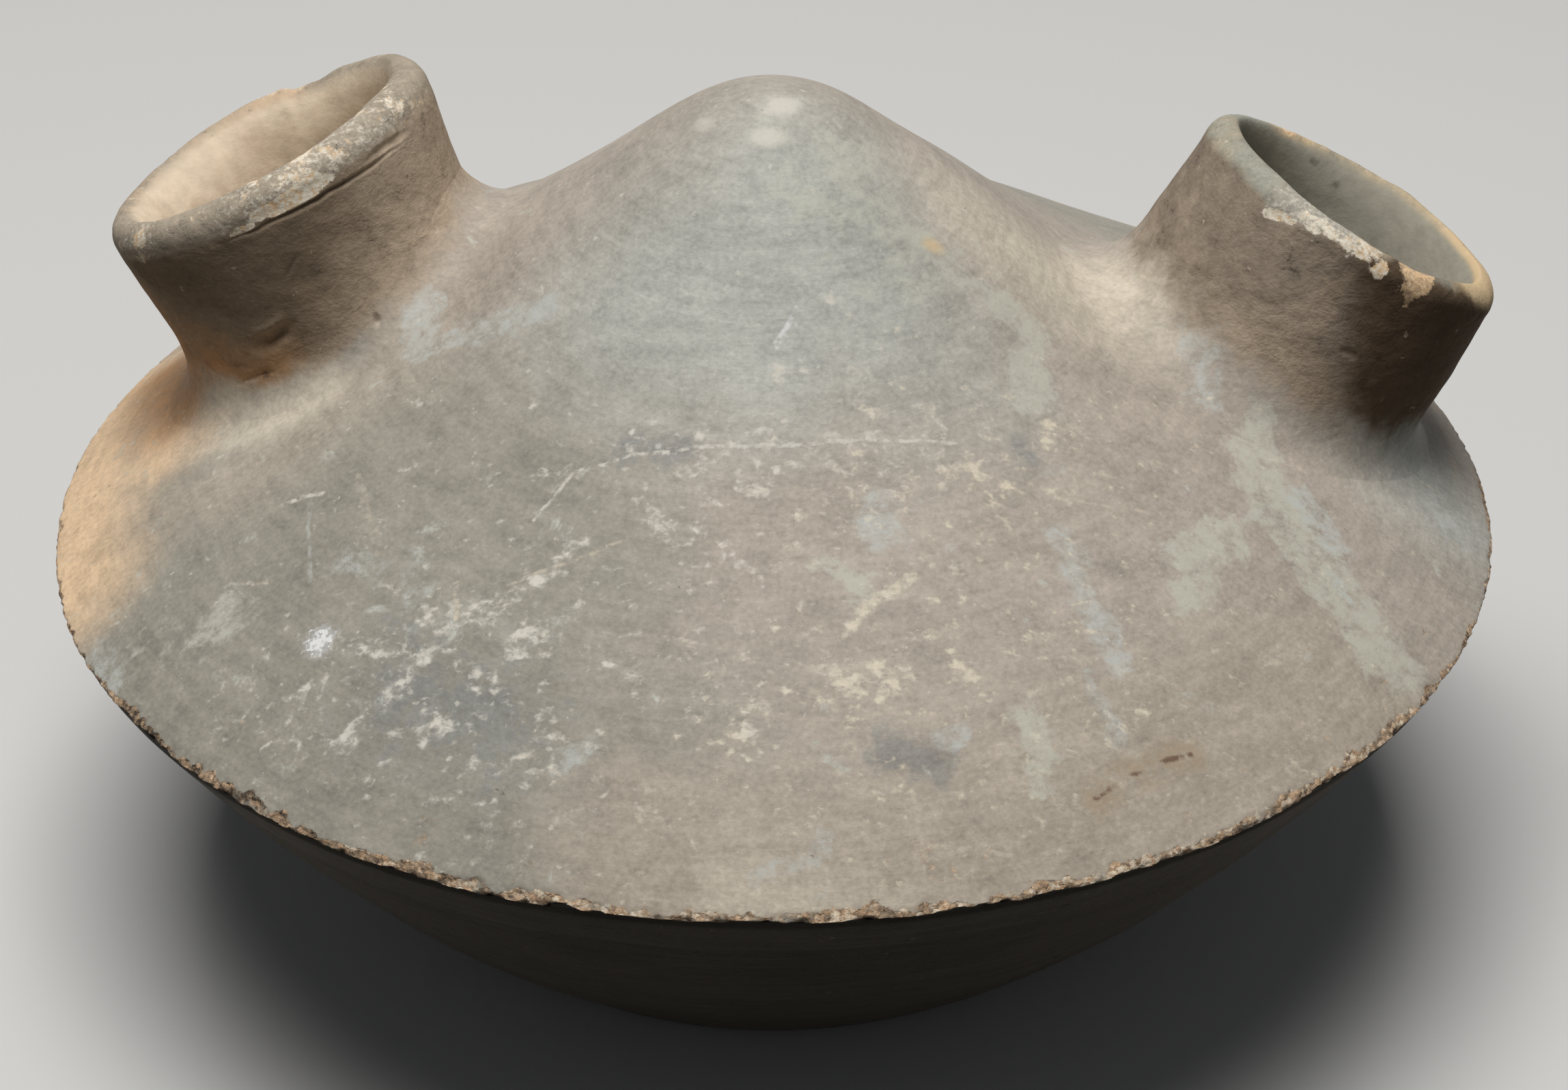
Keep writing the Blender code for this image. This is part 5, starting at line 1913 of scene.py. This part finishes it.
@dataclass
class Studio:
    """The pale floor, soft light, sky and camera."""

    floor_half: float = 6.0
    floor_pale: Colour = (0.78, 0.78, 0.77)
    floor_dim: Colour = (0.025, 0.025, 0.025)
    sky_pale: Colour = (0.90, 0.90, 0.90)
    sky_dim: Colour = (0.072, 0.074, 0.078)
    lamp_place: Place = (-0.08, -0.08, 1.35)
    lamp_aim: Place = (0.0, 0.0, 0.07)
    lamp_side: float = 0.80
    lamp_power: float = 15.4
    lamp_colour: Colour = (1.0, 0.985, 0.96)
    sensor: float = 36.0
    lens: float = 81.19
    eye: Place = (0.0, -0.429622, 0.313430)
    right: Place = (0.99995476, -0.00729989, -0.00609762)
    up: Place = (0.00902528, 0.52585438, 0.85052673)
    forward: Place = (0.00300229, 0.85054329, -0.52589647)

    def build(self) -> None:
        """Make the floor, light, sky and camera."""
        self.build_floor()
        self.build_light()
        self.build_sky()
        self.build_camera()

    def seen(self, tree: ShaderTree) -> Val:
        """Return 1 for what is seen straight, mirrored or through glass, and 0 for scattered light."""
        path = tree.add("ShaderNodeLightPath")
        names = ("Is Camera Ray", "Is Glossy Ray", "Is Transmission Ray")
        straight, mirrored, through = (Val(tree, path.outputs[name]) for name in names)
        return straight.high(mirrored).high(through)

    def two_faced(self, tree: ShaderTree, kind: str, pale: Colour, dim: Colour) -> Val:
        """Return a shader that is pale to the eye and dim to scattered light."""
        shown = tree.node(kind, None, {"Color": pale})
        thrown = tree.node(kind, None, {"Color": dim})
        return tree.node("ShaderNodeMixShader", None, {0: self.seen(tree), 1: thrown, 2: shown})

    def build_floor(self) -> None:
        """Make the floor, pale to the eye and dim to the light that it throws back."""
        half = self.floor_half
        mesh = bpy.data.meshes.new("floor")
        corners = [(-half, -half, 0), (half, -half, 0), (half, half, 0), (-half, half, 0)]
        mesh.from_pydata(corners, [], [(0, 1, 2, 3)])
        floor = add_object("floor", mesh)
        material, tree = start_material("floor")
        both = self.two_faced(tree, "ShaderNodeBsdfDiffuse", self.floor_pale, self.floor_dim)
        tree.add("ShaderNodeOutputMaterial", None, {"Surface": both})
        mesh.materials.append(material)

    def build_light(self) -> None:
        """Hang one large soft light over the jar, facing it."""
        lamp = bpy.data.lights.new("overhead", "AREA")
        lamp.size = self.lamp_side
        lamp.energy = self.lamp_power
        lamp.color = self.lamp_colour
        held = add_object("overhead", lamp)
        place = self.lamp_place
        back = np.array(place) - np.array(self.lamp_aim)
        back /= np.linalg.norm(back)
        side = np.cross((0.0, 1.0, 0.0), back)
        side /= np.linalg.norm(side)
        top = np.cross(back, side)
        held.matrix_world = Matrix([(side[i], top[i], back[i], place[i]) for i in range(3)] + [(0, 0, 0, 1)])

    def build_sky(self) -> None:
        """Make the sky, pale to the eye and dim to the jar."""
        world = bpy.data.worlds.new("sky")
        world.use_nodes = True
        bpy.context.scene.world = world
        tree = ShaderTree(world.node_tree)
        both = self.two_faced(tree, "ShaderNodeBackground", self.sky_pale, self.sky_dim)
        tree.add("ShaderNodeOutputWorld", None, {"Surface": both})

    def build_camera(self) -> None:
        """Set the camera at the viewing angle."""
        lens = bpy.data.cameras.new("camera")
        lens.sensor_width = self.sensor
        lens.lens = self.lens
        held = add_object("camera", lens)
        rows = [(self.right[i], self.up[i], -self.forward[i], self.eye[i]) for i in range(3)]
        held.matrix_world = Matrix(rows + [(0.0, 0.0, 0.0, 1.0)])
        bpy.context.scene.camera = held


def main() -> None:
    """Build the jar and its studio."""
    logging.basicConfig(level=logging.INFO, format="%(name)s %(message)s")
    bpy.context.scene.view_settings.view_transform = "Standard"
    jar = JarForm(ClayNoise())
    spouts = (Spout(LEFT_SPOUT, jar, LEFT_CLAY), Spout(RIGHT_SPOUT, jar, RIGHT_CLAY))
    Body(jar, spouts).build()
    for spout in spouts:
        spout.build(spouts)
    Studio().build()


if __name__ == "__main__":
    main()
